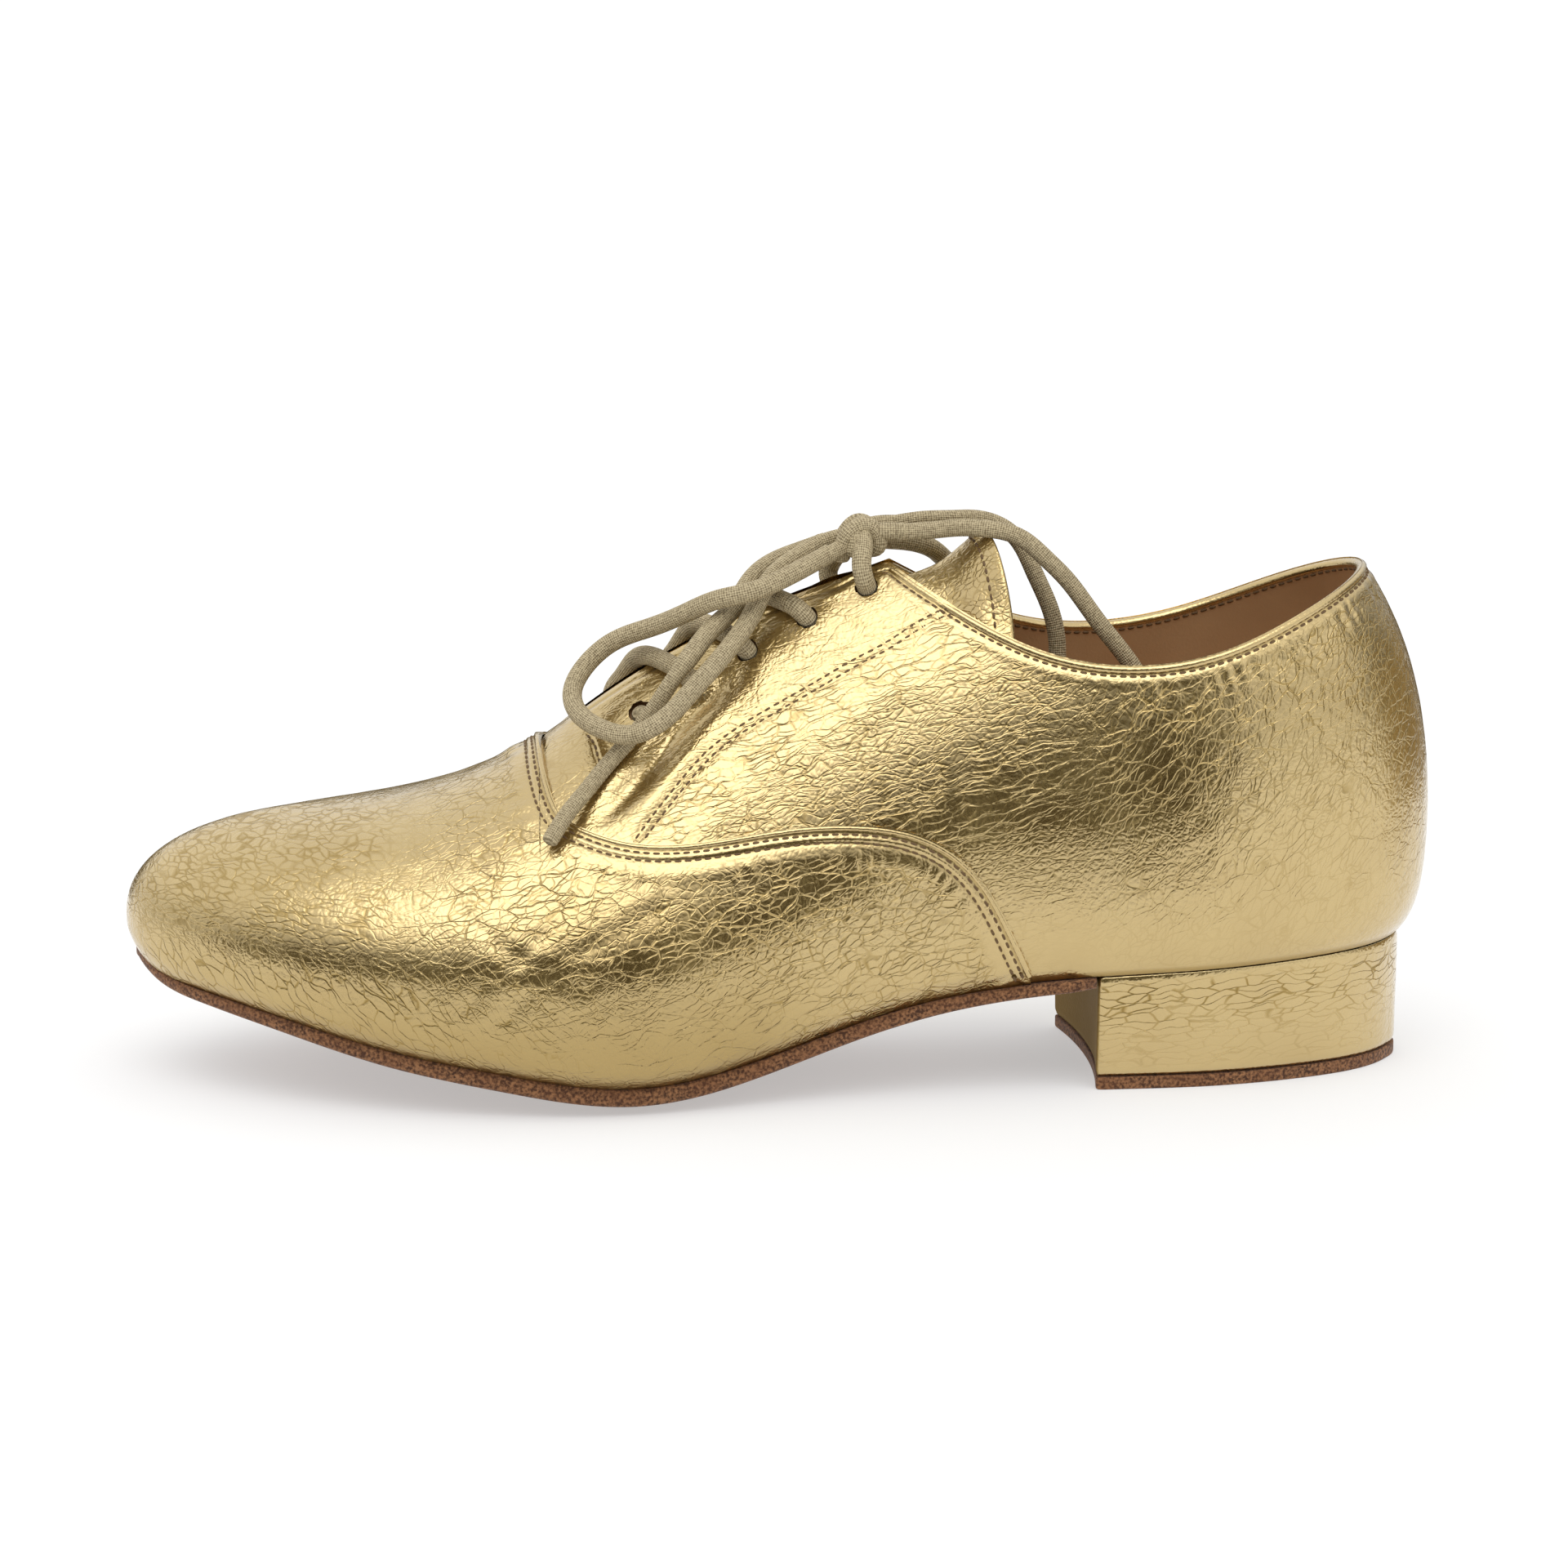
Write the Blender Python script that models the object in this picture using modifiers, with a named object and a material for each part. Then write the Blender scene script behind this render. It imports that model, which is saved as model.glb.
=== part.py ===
"""Latin dance shoe for the left foot: a low-heeled laced oxford in crinkled gold leather.

Metres, +Z up, standing on z = 0. The toe points to -X and the outer (lateral) side of the foot to -Y.
A station s is a place along the shoe, in millimetres forward of the rearmost point of the heel.
Tables and shape functions are in millimetres, as (s, y, z); meshes are made in metres.
"""
import math
from collections import namedtuple

import bmesh
import bpy
import numpy as np
from mathutils import Vector

MM = 0.001
LATERAL = -1
MEDIAL = 1

# Driving sizes, in millimetres
LENGTH = 258.0
WALL = 1.6
SEAT_GAP = 0.3
VAMP_LEATHER = 1.0
INSOLE_THICKNESS = 2.5
INSOLE_INSET = 2.4
TONGUE_THICKNESS = 1.5
TONGUE_GAP = 0.7
TONGUE_TOP_S = 90.0
TONGUE_BASE_S = 172.0
TONGUE_HALF_AT_TOP = 26.0
TONGUE_HALF_AT_BASE = 15.0
TONGUE_SKEW = 3.0
TOP_PIECE = 2.5
BREAST_S = 70.2
BREAST_SKEW = 0.8
BREAST_HOLLOW = 2.2
HEEL_TAPER_AT_ENDS = 1.8
HEEL_TAPER_MIDWAY = 4.4
EYELET_BORE = 4.4
EYELET_SKEW = 5.0
SLIT_END_S = 168.0
SLIT_AT_END = 1.2
SLIT_AT_TOP = 4.2
LACE = 3.8
FACING_TOP_S = 110.6
VAMP_END_S = 82.6

# The last: one rib for each row, from the feather edge up the wall to the ridge of the instep.
# lateral and medial are the feather edge's places across the shoe, arch lifts the medial edge,
# bulge is how far the wall swells past the feather and rise how high above it,
# shoulder and crown say how square the wall's upper curve is at its side and at its top.
Rib = namedtuple("Rib", "name s lateral medial foot_z arch bulge rise top_s top_y top_z shoulder crown")
RIBS = (
    Rib("toe_tip", 255.6, 5.0, 5.0, 25.4, 0.0, 1.1, 6.5, 222.0, 3.6, 52.0, 0.62, 0.50),
    Rib("toe_round", 251.5, -5.0, 14.5, 22.7, 0.0, 1.6, 7.0, 220.0, 3.5, 52.2, 0.62, 0.50),
    Rib("toe_corner", 243.0, -13.5, 22.5, 20.5, 0.0, 2.2, 8.5, 216.0, 3.3, 52.7, 0.60, 0.50),
    Rib("toe_side", 228.0, -23.8, 31.0, 17.6, 0.0, 3.0, 11.0, 208.0, 2.6, 53.9, 0.56, 0.50),
    Rib("forepart", 207.0, -32.6, 37.2, 12.6, 0.0, 4.2, 14.5, 196.0, 1.4, 56.6, 0.52, 0.45),
    Rib("joint_front", 184.0, -37.4, 38.2, 8.4, 0.0, 5.2, 17.5, 181.0, 0.4, 63.0, 0.47, 0.36),
    Rib("joint", 160.0, -37.0, 33.8, 5.2, 0.3, 5.6, 19.5, 162.0, 0.0, 76.4, 0.46, 0.22),
    Rib("waist_front", 135.0, -32.2, 25.2, 9.4, 2.0, 5.2, 22.0, 138.0, 0.0, 90.8, 0.48, 0.16),
    Rib("waist", 108.0, -28.3, 20.8, 17.9, 3.0, 4.6, 25.0, 113.0, 0.0, 100.8, 0.52, 0.24),
    Rib("breast", 72.0, -27.3, 26.0, 23.1, 1.0, 4.3, 26.0, 84.0, 0.0, 108.2, 0.56, 0.50),
    Rib("heel_side", 47.0, -28.6, 28.4, 24.7, 0.0, 4.0, 25.0, 65.0, 0.0, 112.8, 0.60, 0.61),
    Rib("heel_round", 27.0, -23.4, 24.8, 25.6, 0.0, 4.3, 24.7, 55.0, 0.0, 114.6, 0.59, 0.63),
    Rib("heel_corner", 11.8, -13.2, 15.4, 26.0, 0.0, 4.8, 24.4, 50.0, 0.0, 115.1, 0.57, 0.65),
    Rib("heel_back", 5.2, 1.2, 1.2, 26.2, 0.0, 5.2, 24.0, 48.5, 0.0, 115.2, 0.55, 0.66),
)
# How many strips of the surface lie between one rib of the table and the next.
RIB_STEPS = (2, 2, 3, 3, 4, 9, 4, 4, 6, 3, 3, 3, 4)

# Heights that the side view shows, at stations: the topline of the quarters and the vamp's folded edge.
Height = namedtuple("Height", "name s z")
COLLAR = (
    Height("heel_top", 14.0, 100.3),
    Height("heel_slope", 29.0, 93.6),
    Height("rise", 45.0, 87.2),
    Height("dip", 62.0, 84.2),
    Height("dip_front", 80.0, 86.4),
    Height("quarter", 98.0, 94.8),
    Height("facing_top", 111.5, 103.0),
)
VAMP_EDGE = (
    Height("heel_end", 80.8, 21.2),
    Height("rear_foot", 84.2, 27.8),
    Height("rear_slope", 90.0, 39.4),
    Height("rear_bend", 100.5, 50.6),
    Height("wing_top", 114.0, 54.5),
    Height("wing_fall", 131.0, 54.0),
    Height("wing_dip", 150.0, 51.4),
    Height("throat_foot", 163.5, 52.2),
    Height("throat_side", 170.4, 54.3),
    Height("throat_bend", 174.6, 60.0),
    Height("throat", 176.6, 68.5),
)

# Eyelets of one facing, from the top: station of the rib and distance from the facing's edge.
Eyelet = namedtuple("Eyelet", "s from_edge")
EYELETS = (
    Eyelet(114.0, 4.6),
    Eyelet(125.6, 6.8),
    Eyelet(137.2, 9.0),
    Eyelet(147.8, 10.6),
    Eyelet(158.0, 11.2),
)
# Bars of the lace slant over the slit, each from a lateral eyelet to the next lower medial one.
LACE_BARS = (2, 3, 4)

# The bow's free runs, from the knot out. The front loop leaves on the near side and comes back under
# itself, the front end lies beneath both, and the back loop drops over the tongue into the shoe.
KNOT = (113.2, -0.6, 106.4)
KNOT_HALF = (5.6, 5.2, 4.6)
LACE_ROUTES = {
    "lace_strand_near": (
        (113.5, -6.0, 104.0), (114.0, -9.0, 101.0), (113.5, -9.0, 98.5), (113.0, -8.0, 97.0),
    ),
    "lace_strand_far": (
        (114.5, 5.0, 104.5), (117.5, 9.0, 100.5), (119.0, 9.5, 97.0), (118.0, 7.5, 94.5),
    ),
    "lace_loop_front": (
        (120.0, -5.0, 103.0), (125.0, -9.0, 101.0), (130.0, -12.0, 99.0), (136.0, -14.0, 97.0),
        (142.0, -13.0, 95.5), (148.0, -10.0, 92.5), (155.0, -6.0, 89.0), (162.0, -4.0, 86.0),
        (167.0, -5.0, 82.0), (170.0, -9.0, 77.5), (169.0, -15.0, 74.0), (165.0, -20.5, 72.0),
        (159.0, -24.5, 71.5), (153.0, -25.0, 74.5), (148.0, -22.5, 79.0), (143.0, -20.0, 84.0),
        (138.5, -15.5, 88.5), (135.0, -11.0, 93.0), (132.0, -8.0, 98.0), (126.5, -4.0, 102.0),
        (121.0, -0.5, 104.5),
    ),
    "lace_loop_back": (
        (107.0, -4.0, 107.0), (101.0, -3.0, 107.0), (95.0, -3.0, 107.5), (89.0, -5.0, 107.5),
        (83.0, -6.0, 106.0), (78.0, -7.0, 102.0), (74.0, -7.0, 98.0), (68.0, -8.0, 90.0),
        (62.5, -9.0, 83.0), (58.5, -9.0, 76.0), (58.0, -8.0, 69.0), (61.0, -6.5, 62.5),
        (68.0, -4.0, 60.5), (74.0, -2.0, 65.0), (75.5, -1.0, 73.0), (74.5, 0.0, 82.0),
        (76.0, 1.0, 91.0), (79.0, 3.0, 98.0), (83.0, 5.0, 105.0), (89.0, 5.0, 108.0),
        (95.0, 3.0, 108.5), (101.0, 2.0, 108.5), (107.0, 3.0, 107.5),
    ),
    "lace_end_front": (
        (120.0, 4.0, 104.0), (125.0, 2.5, 102.5), (130.0, 0.0, 101.0), (135.0, -4.0, 98.0),
        (139.0, -9.0, 93.0), (143.0, -13.0, 90.0), (147.0, -17.0, 86.0), (151.0, -19.0, 81.0),
        (155.0, -19.0, 75.0), (160.0, -20.0, 69.0), (164.0, -22.0, 65.0), (168.0, -26.0, 61.0),
        (172.0, -30.0, 57.0), (175.0, -33.0, 53.0),
    ),
    "lace_end_back": (
        (108.5, 7.0, 104.0), (104.0, 8.0, 103.5), (99.0, 9.5, 102.0), (96.0, 12.5, 99.5),
        (93.0, 16.0, 96.0), (91.0, 19.0, 92.0),
    ),
}

# Thickness of the sole, and how far its middle hangs below its edges.
SolePlace = namedtuple("SolePlace", "name s thickness camber")
SOLE = (
    SolePlace("heel_back", 0.0, 2.4, 0.6),
    SolePlace("breast", 70.0, 2.2, 0.9),
    SolePlace("waist", 108.0, 2.9, 1.4),
    SolePlace("tread_rear", 145.0, 3.0, 2.4),
    SolePlace("tread_front", 175.0, 2.9, 2.4),
    SolePlace("forepart", 207.0, 2.6, 1.8),
    SolePlace("toe_side", 236.0, 2.1, 1.0),
    SolePlace("toe_tip", 256.0, 1.6, 0.0),
)

# Points along a rib below and above the vamp's edge, and across the sole and half the tongue.
# Behind the vamp the lower share of a rib grows over a run to its full value.
LOW_STEPS = 7
HIGH_STEPS = 6
HEEL_LOW_SHARE = 0.45
HEEL_LOW_RUN = 34.0
ACROSS_SOLE = 5
ACROSS_TONGUE = 7
TONGUE_STEPS = 13

# How the wall leaves the feather edge and comes upright at its swell, as shares of bulge and rise.
FOOT_REACH = 0.75
FOOT_RISE = 0.15
SWELL_DROP = 0.55

# Samples along a rib's lower and upper curve, round half the last, and between a lace's route points.
LOW_SAMPLES = 16
HIGH_SAMPLES = 80
LOOKUP_SAMPLES = 800
ROUTE_SAMPLES = 40

# Lengths of the lace's facets, the share of the slit that a bar spans freely, and the eyelet cutters.
FREE_LACE_STEP = 1.5 * LACE
BAR_STEP = 0.7 * LACE
BAR_SPAN = 0.6
BORE_SIDES = 12
BORE_CUTTER = 5 * WALL
SHARP_ANGLE = math.radians(40)


def to_world(s, y, z):
    """Metres from a station, a place across and a height in millimetres."""
    return np.stack(np.broadcast_arrays(LENGTH / 2 - s, y, z), axis=-1) * MM


def second_slopes(knots, rows, closed):
    """Second derivatives of the cubic spline through the rows, natural at the ends if it is open."""
    count = len(rows)
    step = np.diff(knots)
    matrix = np.eye(count)
    right = np.zeros_like(rows)
    for i in range(0 if closed else 1, count if closed else count - 1):
        after = (i + 1) % count
        matrix[i] = 0.0
        matrix[i, i - 1] = step[i - 1]
        matrix[i, i] = 2 * (step[i - 1] + step[i])
        matrix[i, after] = step[i]
        right[i] = (rows[after] - rows[i]) / step[i] - (rows[i] - rows[i - 1]) / step[i - 1]
    return np.linalg.solve(matrix, 6 * right)


class Spline:
    """A cubic spline through rows of values at rising knots; a closed one has a last knot to return at."""

    def __init__(self, knots, rows, closed=False):
        self.knots = np.asarray(knots, float)
        self.rows = np.asarray(rows, float).reshape(len(rows), -1)
        self.bend = second_slopes(self.knots, self.rows, closed)
        self.closed = closed

    def __call__(self, at):
        at = np.asarray(at, float)
        if self.closed:
            at = np.mod(at, self.knots[-1])
        i = np.clip(np.searchsorted(self.knots, at, side="right") - 1, 0, len(self.knots) - 2)
        j = (i + 1) % len(self.rows)
        step = (self.knots[i + 1] - self.knots[i])[..., None]
        b = (at - self.knots[i])[..., None] / step
        a = 1 - b
        curve = (a**3 - a) * self.bend[i] + (b**3 - b) * self.bend[j]
        return a * self.rows[i] + b * self.rows[j] + curve * step**2 / 6


def height_curve(table):
    """Height against station for a table of named places, level past its ends."""
    stations = [row.s for row in table]
    curve = Spline(stations, [[row.z] for row in table])
    return lambda s: curve(np.clip(s, stations[0], stations[-1]))[..., 0]


def rib_knots():
    """Places of the ribs round half the last: both sides' mean distance along the feather edge."""
    places = [0.0]
    for a, b in zip(RIBS, RIBS[1:]):
        lateral = math.hypot(b.s - a.s, b.lateral - a.lateral)
        medial = math.hypot(b.s - a.s, b.medial - a.medial)
        places.append(places[-1] + (lateral + medial) / 2)
    return np.array(places)


def rib_columns(rib, side):
    """The values of a rib that change round the shoe, for one side."""
    across = rib.lateral if side == LATERAL else rib.medial
    foot_z = rib.foot_z + (rib.arch if side == MEDIAL else 0.0)
    top = [rib.top_s, rib.top_y, rib.top_z, rib.shoulder, rib.crown]
    return [rib.s, across, foot_z, rib.bulge, foot_z + rib.rise] + top


def sole_value(column):
    """A column of the sole's table as a function of the station."""
    stations = [row.s for row in SOLE]
    values = [getattr(row, column) for row in SOLE]
    return lambda s: np.interp(s, stations, values)


collar_height = height_curve(COLLAR)
vamp_height = height_curve(VAMP_EDGE)
sole_thickness = sole_value("thickness")
sole_camber = sole_value("camber")
RIB_KNOTS = rib_knots()
HALF_ROUND = RIB_KNOTS[-1]
last_spline = Spline(
    np.concatenate([RIB_KNOTS, 2 * HALF_ROUND - RIB_KNOTS[-2::-1]]),
    [rib_columns(rib, LATERAL) for rib in RIBS] + [rib_columns(rib, MEDIAL) for rib in RIBS[-2:0:-1]],
    closed=True,
)
ridge_spline = Spline([rib.top_s for rib in RIBS[::-1]], [[rib.top_z] for rib in RIBS[::-1]])


def ridge_slope(s, step=2.0):
    """Rise of the ridge per millimetre forward, at a station."""
    low = max(s - step, RIBS[-1].top_s)
    high = min(s + step, RIBS[0].top_s)
    return float((ridge_spline(high) - ridge_spline(low))[0]) / (high - low)


def bezier(points, count):
    """Points of a cubic curve with four control points."""
    t = np.linspace(0, 1, count)[:, None]
    u = 1 - t
    return u**3 * points[0] + 3 * u * u * t * points[1] + 3 * u * t * t * points[2] + t**3 * points[3]


def feather_out(place, small=0.05):
    """The feather edge's outward direction in plan, at a place round the last."""
    run = (last_spline(place + small) - last_spline(place - small))[:2]
    out = np.array([run[1], -run[0], 0.0]) / np.hypot(*run)
    s, y = last_spline(place)[:2]
    return out if np.dot(out[:2], [s - LENGTH / 2, y]) > 0 else -out


def rib_line(place):
    """A rib of the last: from the feather edge out to the swell of the wall, then over to the ridge."""
    s, y, foot_z, bulge, bulge_z, top_s, top_y, top_z, shoulder, crown = last_spline(place)
    out = feather_out(place)
    up = np.array([0.0, 0.0, 1.0])
    foot = np.array([s, y, foot_z])
    rise = bulge_z - foot_z
    swell = foot + out * bulge + up * rise
    top = np.array([top_s, top_y, top_z])
    reach = (swell - top) * [1, 1, 0] * crown
    above_foot = foot + out * bulge * FOOT_REACH + up * rise * FOOT_RISE
    low = [foot, above_foot, swell - up * rise * SWELL_DROP, swell]
    shoulder_point = swell + up * (top_z - bulge_z) * shoulder
    high = [swell, shoulder_point, top + reach + up * ridge_slope(top_s) * reach[0], top]
    return np.concatenate([bezier(low, LOW_SAMPLES), bezier(high, HIGH_SAMPLES)[1:]])


def slit_half(s):
    """Half the gap between the facings at a station."""
    share = np.clip((SLIT_END_S - s) / (SLIT_END_S - FACING_TOP_S), 0, 1)
    return SLIT_AT_END + (SLIT_AT_TOP - SLIT_AT_END) * share


def above_topline(line):
    """Positive where a rib is past the collar's edge or inside the slit of the facings."""
    s, y, z = line.T
    over_collar = z - collar_height(s)
    in_slit = np.where(s > TONGUE_TOP_S, slit_half(s) - np.abs(y), -1.0)
    return np.where(s > SLIT_END_S, -1.0, np.maximum(over_collar, in_slit))


def above_vamp(line):
    """Positive where a rib is past the vamp's folded edge."""
    s, _, z = line.T
    return np.where(s > VAMP_EDGE[-1].s, -1.0, z - vamp_height(s))


def cut_at(line, past):
    """A rib's lower and upper parts, split at the first place where past turns positive."""
    value = past(line)
    hits = np.nonzero(value > 0)[0]
    if not len(hits):
        return line, line[-1:]
    i = max(hits[0], 1)
    share = np.clip(-value[i - 1] / (value[i] - value[i - 1]), 0, 1)
    edge = line[i - 1] + share * (line[i] - line[i - 1])
    return np.concatenate([line[:i], [edge]]), np.concatenate([[edge], line[i:]])


def along(line):
    """Distance of each point of a line from its start."""
    return np.concatenate([[0], np.cumsum(np.linalg.norm(np.diff(line, axis=0), axis=1))])


def at_distances(line, distances):
    """Points of a line at distances from its start."""
    run = along(line)
    return np.stack([np.interp(distances, run, line[:, k]) for k in range(3)], axis=-1)


def spaced(line, steps, crowd=0.6):
    """The line again in a number of steps, closer together towards both ends."""
    t = np.linspace(0, 1, steps + 1)
    t = (1 - crowd) * t + crowd * (1 - np.cos(np.pi * t)) / 2
    return at_distances(line, t * along(line)[-1])


def half_places():
    """Places round one half of the last, from toe tip to heel back."""
    places = []
    for a, b, steps in zip(RIB_KNOTS, RIB_KNOTS[1:], RIB_STEPS):
        places.extend(np.linspace(a, b, steps, endpoint=False))
    return np.array(places + [HALF_ROUND])


def on_side(side, place):
    """A place on one side of the whole last, from a place round its half."""
    return place if side == LATERAL else 2 * HALF_ROUND - place


def place_where(column, station):
    """The place round the half last where a column of the ribs reaches a station."""
    places = np.linspace(0, HALF_ROUND, LOOKUP_SAMPLES)
    values = last_spline(places)[:, column]
    return float(np.interp(station, values[::-1], places[::-1]))


def place_of_foot(station):
    return place_where(0, station)


def place_of_top(station):
    return place_where(5, station)


def last_point(station, across, small=0.6):
    """A point of the last at a distance across from the ridge, lateral below zero, and its normal."""

    def look(place, distance):
        side = LATERAL if distance < 0 else MEDIAL
        return at_distances(rib_line(on_side(side, place))[::-1], abs(distance))

    place = place_of_top(station)
    along_shoe = look(place - small, across) - look(place + small, across)
    along_rib = look(place, across + small) - look(place, across - small)
    normal = np.cross(along_rib, along_shoe)
    normal *= np.sign(normal[2]) / np.linalg.norm(normal)
    return look(place, across), normal


def eyelet_at(side, number):
    """Station and signed distance from the ridge of an eyelet, counted from 1 at the top."""
    eyelet = EYELETS[number - 1]
    station = eyelet.s + (EYELET_SKEW if side == MEDIAL else 0.0)
    return station, side * (float(slit_half(eyelet.s)) + eyelet.from_edge)


def feather(s):
    """Both feather edges at a station: lateral place and height, medial place and height."""
    places = np.linspace(0, HALF_ROUND, LOOKUP_SAMPLES)[::-1]
    edges = []
    for side in (LATERAL, MEDIAL):
        rows = last_spline(on_side(side, places))
        edges += [np.interp(s, rows[:, 0], rows[:, 1]), np.interp(s, rows[:, 0], rows[:, 2])]
    return edges


def seat_height(s, y):
    """Height of the surface that the last stands on: the feather edges, with the camber between."""
    lateral_y, lateral_z, medial_y, medial_z = feather(s)
    share = np.clip((y - lateral_y) / np.maximum(medial_y - lateral_y, 0.01), 0, 1)
    return lateral_z + (medial_z - lateral_z) * share - sole_camber(s) * 4 * share * (1 - share)


def fresh_material(name, colour, roughness, metallic):
    finish = bpy.data.materials.new(name)
    finish.use_nodes = True
    shader = finish.node_tree.nodes["Principled BSDF"]
    shader.inputs["Base Color"].default_value = (*colour, 1.0)
    shader.inputs["Roughness"].default_value = roughness
    shader.inputs["Metallic"].default_value = metallic
    return finish


def place_object(name, data, finish, collection):
    thing = bpy.data.objects.new(name, data)
    if finish:
        data.materials.append(finish)
    collection.objects.link(thing)
    return thing


def mesh_from(made, name):
    mesh = bpy.data.meshes.new(name)
    made.to_mesh(mesh)
    made.free()
    mesh.shade_smooth()
    mesh.set_sharp_from_angle(angle=SHARP_ANGLE)
    return mesh


def add_lines(made, rows):
    """Vertices for rows of points in (s, y, z)."""
    return [[made.verts.new(p) for p in to_world(*np.asarray(row).T)] for row in rows]


def bridge(made, first, second):
    """Faces between two lines of equally many vertices."""
    for i in range(len(first) - 1):
        made.faces.new((first[i], second[i], second[i + 1], first[i + 1]))


def skin_mesh(name, rows, closed, lift=0.0):
    """An open surface through rows of points, facing out and lifted along its normals."""
    made = bmesh.new()
    lines = add_lines(made, rows)
    for first, second in zip(lines, lines[1:] + lines[:1] if closed else lines[1:]):
        bridge(made, first, second)
    bmesh.ops.remove_doubles(made, verts=made.verts, dist=0.01 * MM)
    bmesh.ops.triangulate(made, faces=made.faces, quad_method="FIXED")
    made.normal_update()
    if sum(f.normal.dot(f.calc_center_median()) * f.calc_area() for f in made.faces) < 0:
        bmesh.ops.reverse_faces(made, faces=made.faces)
        made.normal_update()
    for vert in made.verts:
        vert.co += vert.normal * lift * MM
    return mesh_from(made, name)


def thicken(thing, thickness, outward):
    """Turn a skin into a wall that grows outward or inward from it."""
    wall = thing.modifiers.new("wall", "SOLIDIFY")
    wall.thickness = thickness * MM
    wall.offset = 1.0 if outward else -1.0


def plate_mesh(name, tops, bottoms):
    """A solid between an upper and a lower grid of points, row by row along the shoe."""
    made = bmesh.new()
    upper = add_lines(made, tops)
    lower = add_lines(made, bottoms)
    for grid in (upper, lower):
        for first, second in zip(grid, grid[1:]):
            bridge(made, first, second)
    for edge in (0, -1):
        bridge(made, [row[edge] for row in upper], [row[edge] for row in lower])
        bridge(made, upper[edge], lower[edge])
    bmesh.ops.remove_doubles(made, verts=made.verts, dist=0.01 * MM)
    bmesh.ops.recalc_face_normals(made, faces=made.faces)
    return mesh_from(made, name)


def across_row(lateral, medial):
    """Points in plan from one side's point to the other's, and how near the middle each is."""
    share = np.linspace(0, 1, ACROSS_SOLE + 1)
    line = np.asarray(lateral) + (np.asarray(medial) - np.asarray(lateral)) * share[:, None]
    return line[:, 0], line[:, 1], 4 * share * (1 - share)


def feather_row(place, inset=0.0):
    """A row across the shoe between both feather edges, drawn in by an inset."""
    ends = [
        (last_spline(p)[:3] - feather_out(p) * inset)[:2]
        for p in (place, on_side(MEDIAL, place))
    ]
    return across_row(*ends)


def breast_row(gap):
    """A row across the shoe along the hollow breast of the heel."""
    lateral_y, _, medial_y, _ = feather(BREAST_S)
    ahead = BREAST_S + gap
    s, y, middle = across_row((ahead - BREAST_SKEW, lateral_y), (ahead + BREAST_SKEW, medial_y))
    return s - BREAST_HOLLOW * middle, y, middle


def upper_rib(place):
    """A rib of the upper, with its points shared out below and above the vamp's edge."""
    line, _ = cut_at(rib_line(place), above_topline)
    if line[0, 0] > VAMP_END_S:
        low, high = cut_at(line, above_vamp)
    else:
        total = along(line)[-1]
        split = total * HEEL_LOW_SHARE * np.clip((VAMP_END_S - line[0, 0]) / HEEL_LOW_RUN, 0.1, 1)
        low = at_distances(line, np.linspace(0, split, 40))
        high = at_distances(line, np.linspace(split, total, 40))
    return spaced(low, LOW_STEPS), spaced(high, HIGH_STEPS)


def wall_places():
    """Places round half the last where the wall has ribs, with one at the vamp's rear end."""
    places = half_places()
    end = place_of_foot(VAMP_END_S + 0.01)
    places[np.argmin(np.abs(places - end))] = end
    return places


def make_upper(finish, parts, cutters):
    places = wall_places()
    round_places = np.concatenate([places, 2 * HALF_ROUND - places[-2:0:-1]])
    rows = []
    for place in round_places:
        low, high = upper_rib(place)
        rows.append(np.concatenate([low, high[1:]]))
    upper = place_object("upper", skin_mesh("upper", rows, closed=True), finish, parts)
    thicken(upper, WALL, outward=False)
    bores = place_object("eyelet_bores", eyelet_bores(), None, cutters)
    bores.hide_render = True
    bores.display_type = "WIRE"
    cut = upper.modifiers.new("eyelets", "BOOLEAN")
    cut.operation = "DIFFERENCE"
    cut.object = bores


def eyelet_bores():
    """One cutter with a round pin through each eyelet of the facings."""
    made = bmesh.new()
    for number in range(1, len(EYELETS) + 1):
        for side in (LATERAL, MEDIAL):
            point, normal = last_point(*eyelet_at(side, number))
            pin = bmesh.ops.create_cone(
                made, cap_ends=True, segments=BORE_SIDES, depth=BORE_CUTTER * MM,
                radius1=EYELET_BORE / 2 * MM, radius2=EYELET_BORE / 2 * MM,
            )["verts"]
            axis = Vector((-normal[0], normal[1], normal[2]))
            turn = axis.to_track_quat("Z", "Y").to_matrix()
            bmesh.ops.rotate(made, verts=pin, matrix=turn)
            bmesh.ops.translate(made, verts=pin, vec=to_world(*point))
    return mesh_from(made, "eyelet_bores")


def make_vamp(finish, parts):
    half = [p for p in wall_places() if last_spline(p)[0] > VAMP_END_S]
    round_places = [on_side(MEDIAL, p) for p in half[:0:-1]] + half
    rows = [upper_rib(p)[0] for p in round_places]
    vamp = place_object("vamp", skin_mesh("vamp", rows, closed=False, lift=SEAT_GAP), finish, parts)
    thicken(vamp, VAMP_LEATHER, outward=True)


def make_tongue(finish, parts):
    rows = []
    for share in np.linspace(0, 1, TONGUE_STEPS + 1):
        station = TONGUE_BASE_S + (TONGUE_TOP_S - TONGUE_BASE_S) * share
        width = TONGUE_HALF_AT_BASE + (TONGUE_HALF_AT_TOP - TONGUE_HALF_AT_BASE) * share
        row = []
        for part in np.linspace(-1, 1, 2 * ACROSS_TONGUE + 1):
            skew = TONGUE_SKEW * share * abs(part)
            row.append(last_point(station + skew, part * width)[0])
        rows.append(row)
    mesh = skin_mesh("tongue", rows, closed=False, lift=-(WALL + TONGUE_GAP))
    tongue = place_object("tongue", mesh, finish, parts)
    thicken(tongue, TONGUE_THICKNESS, outward=False)


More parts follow.
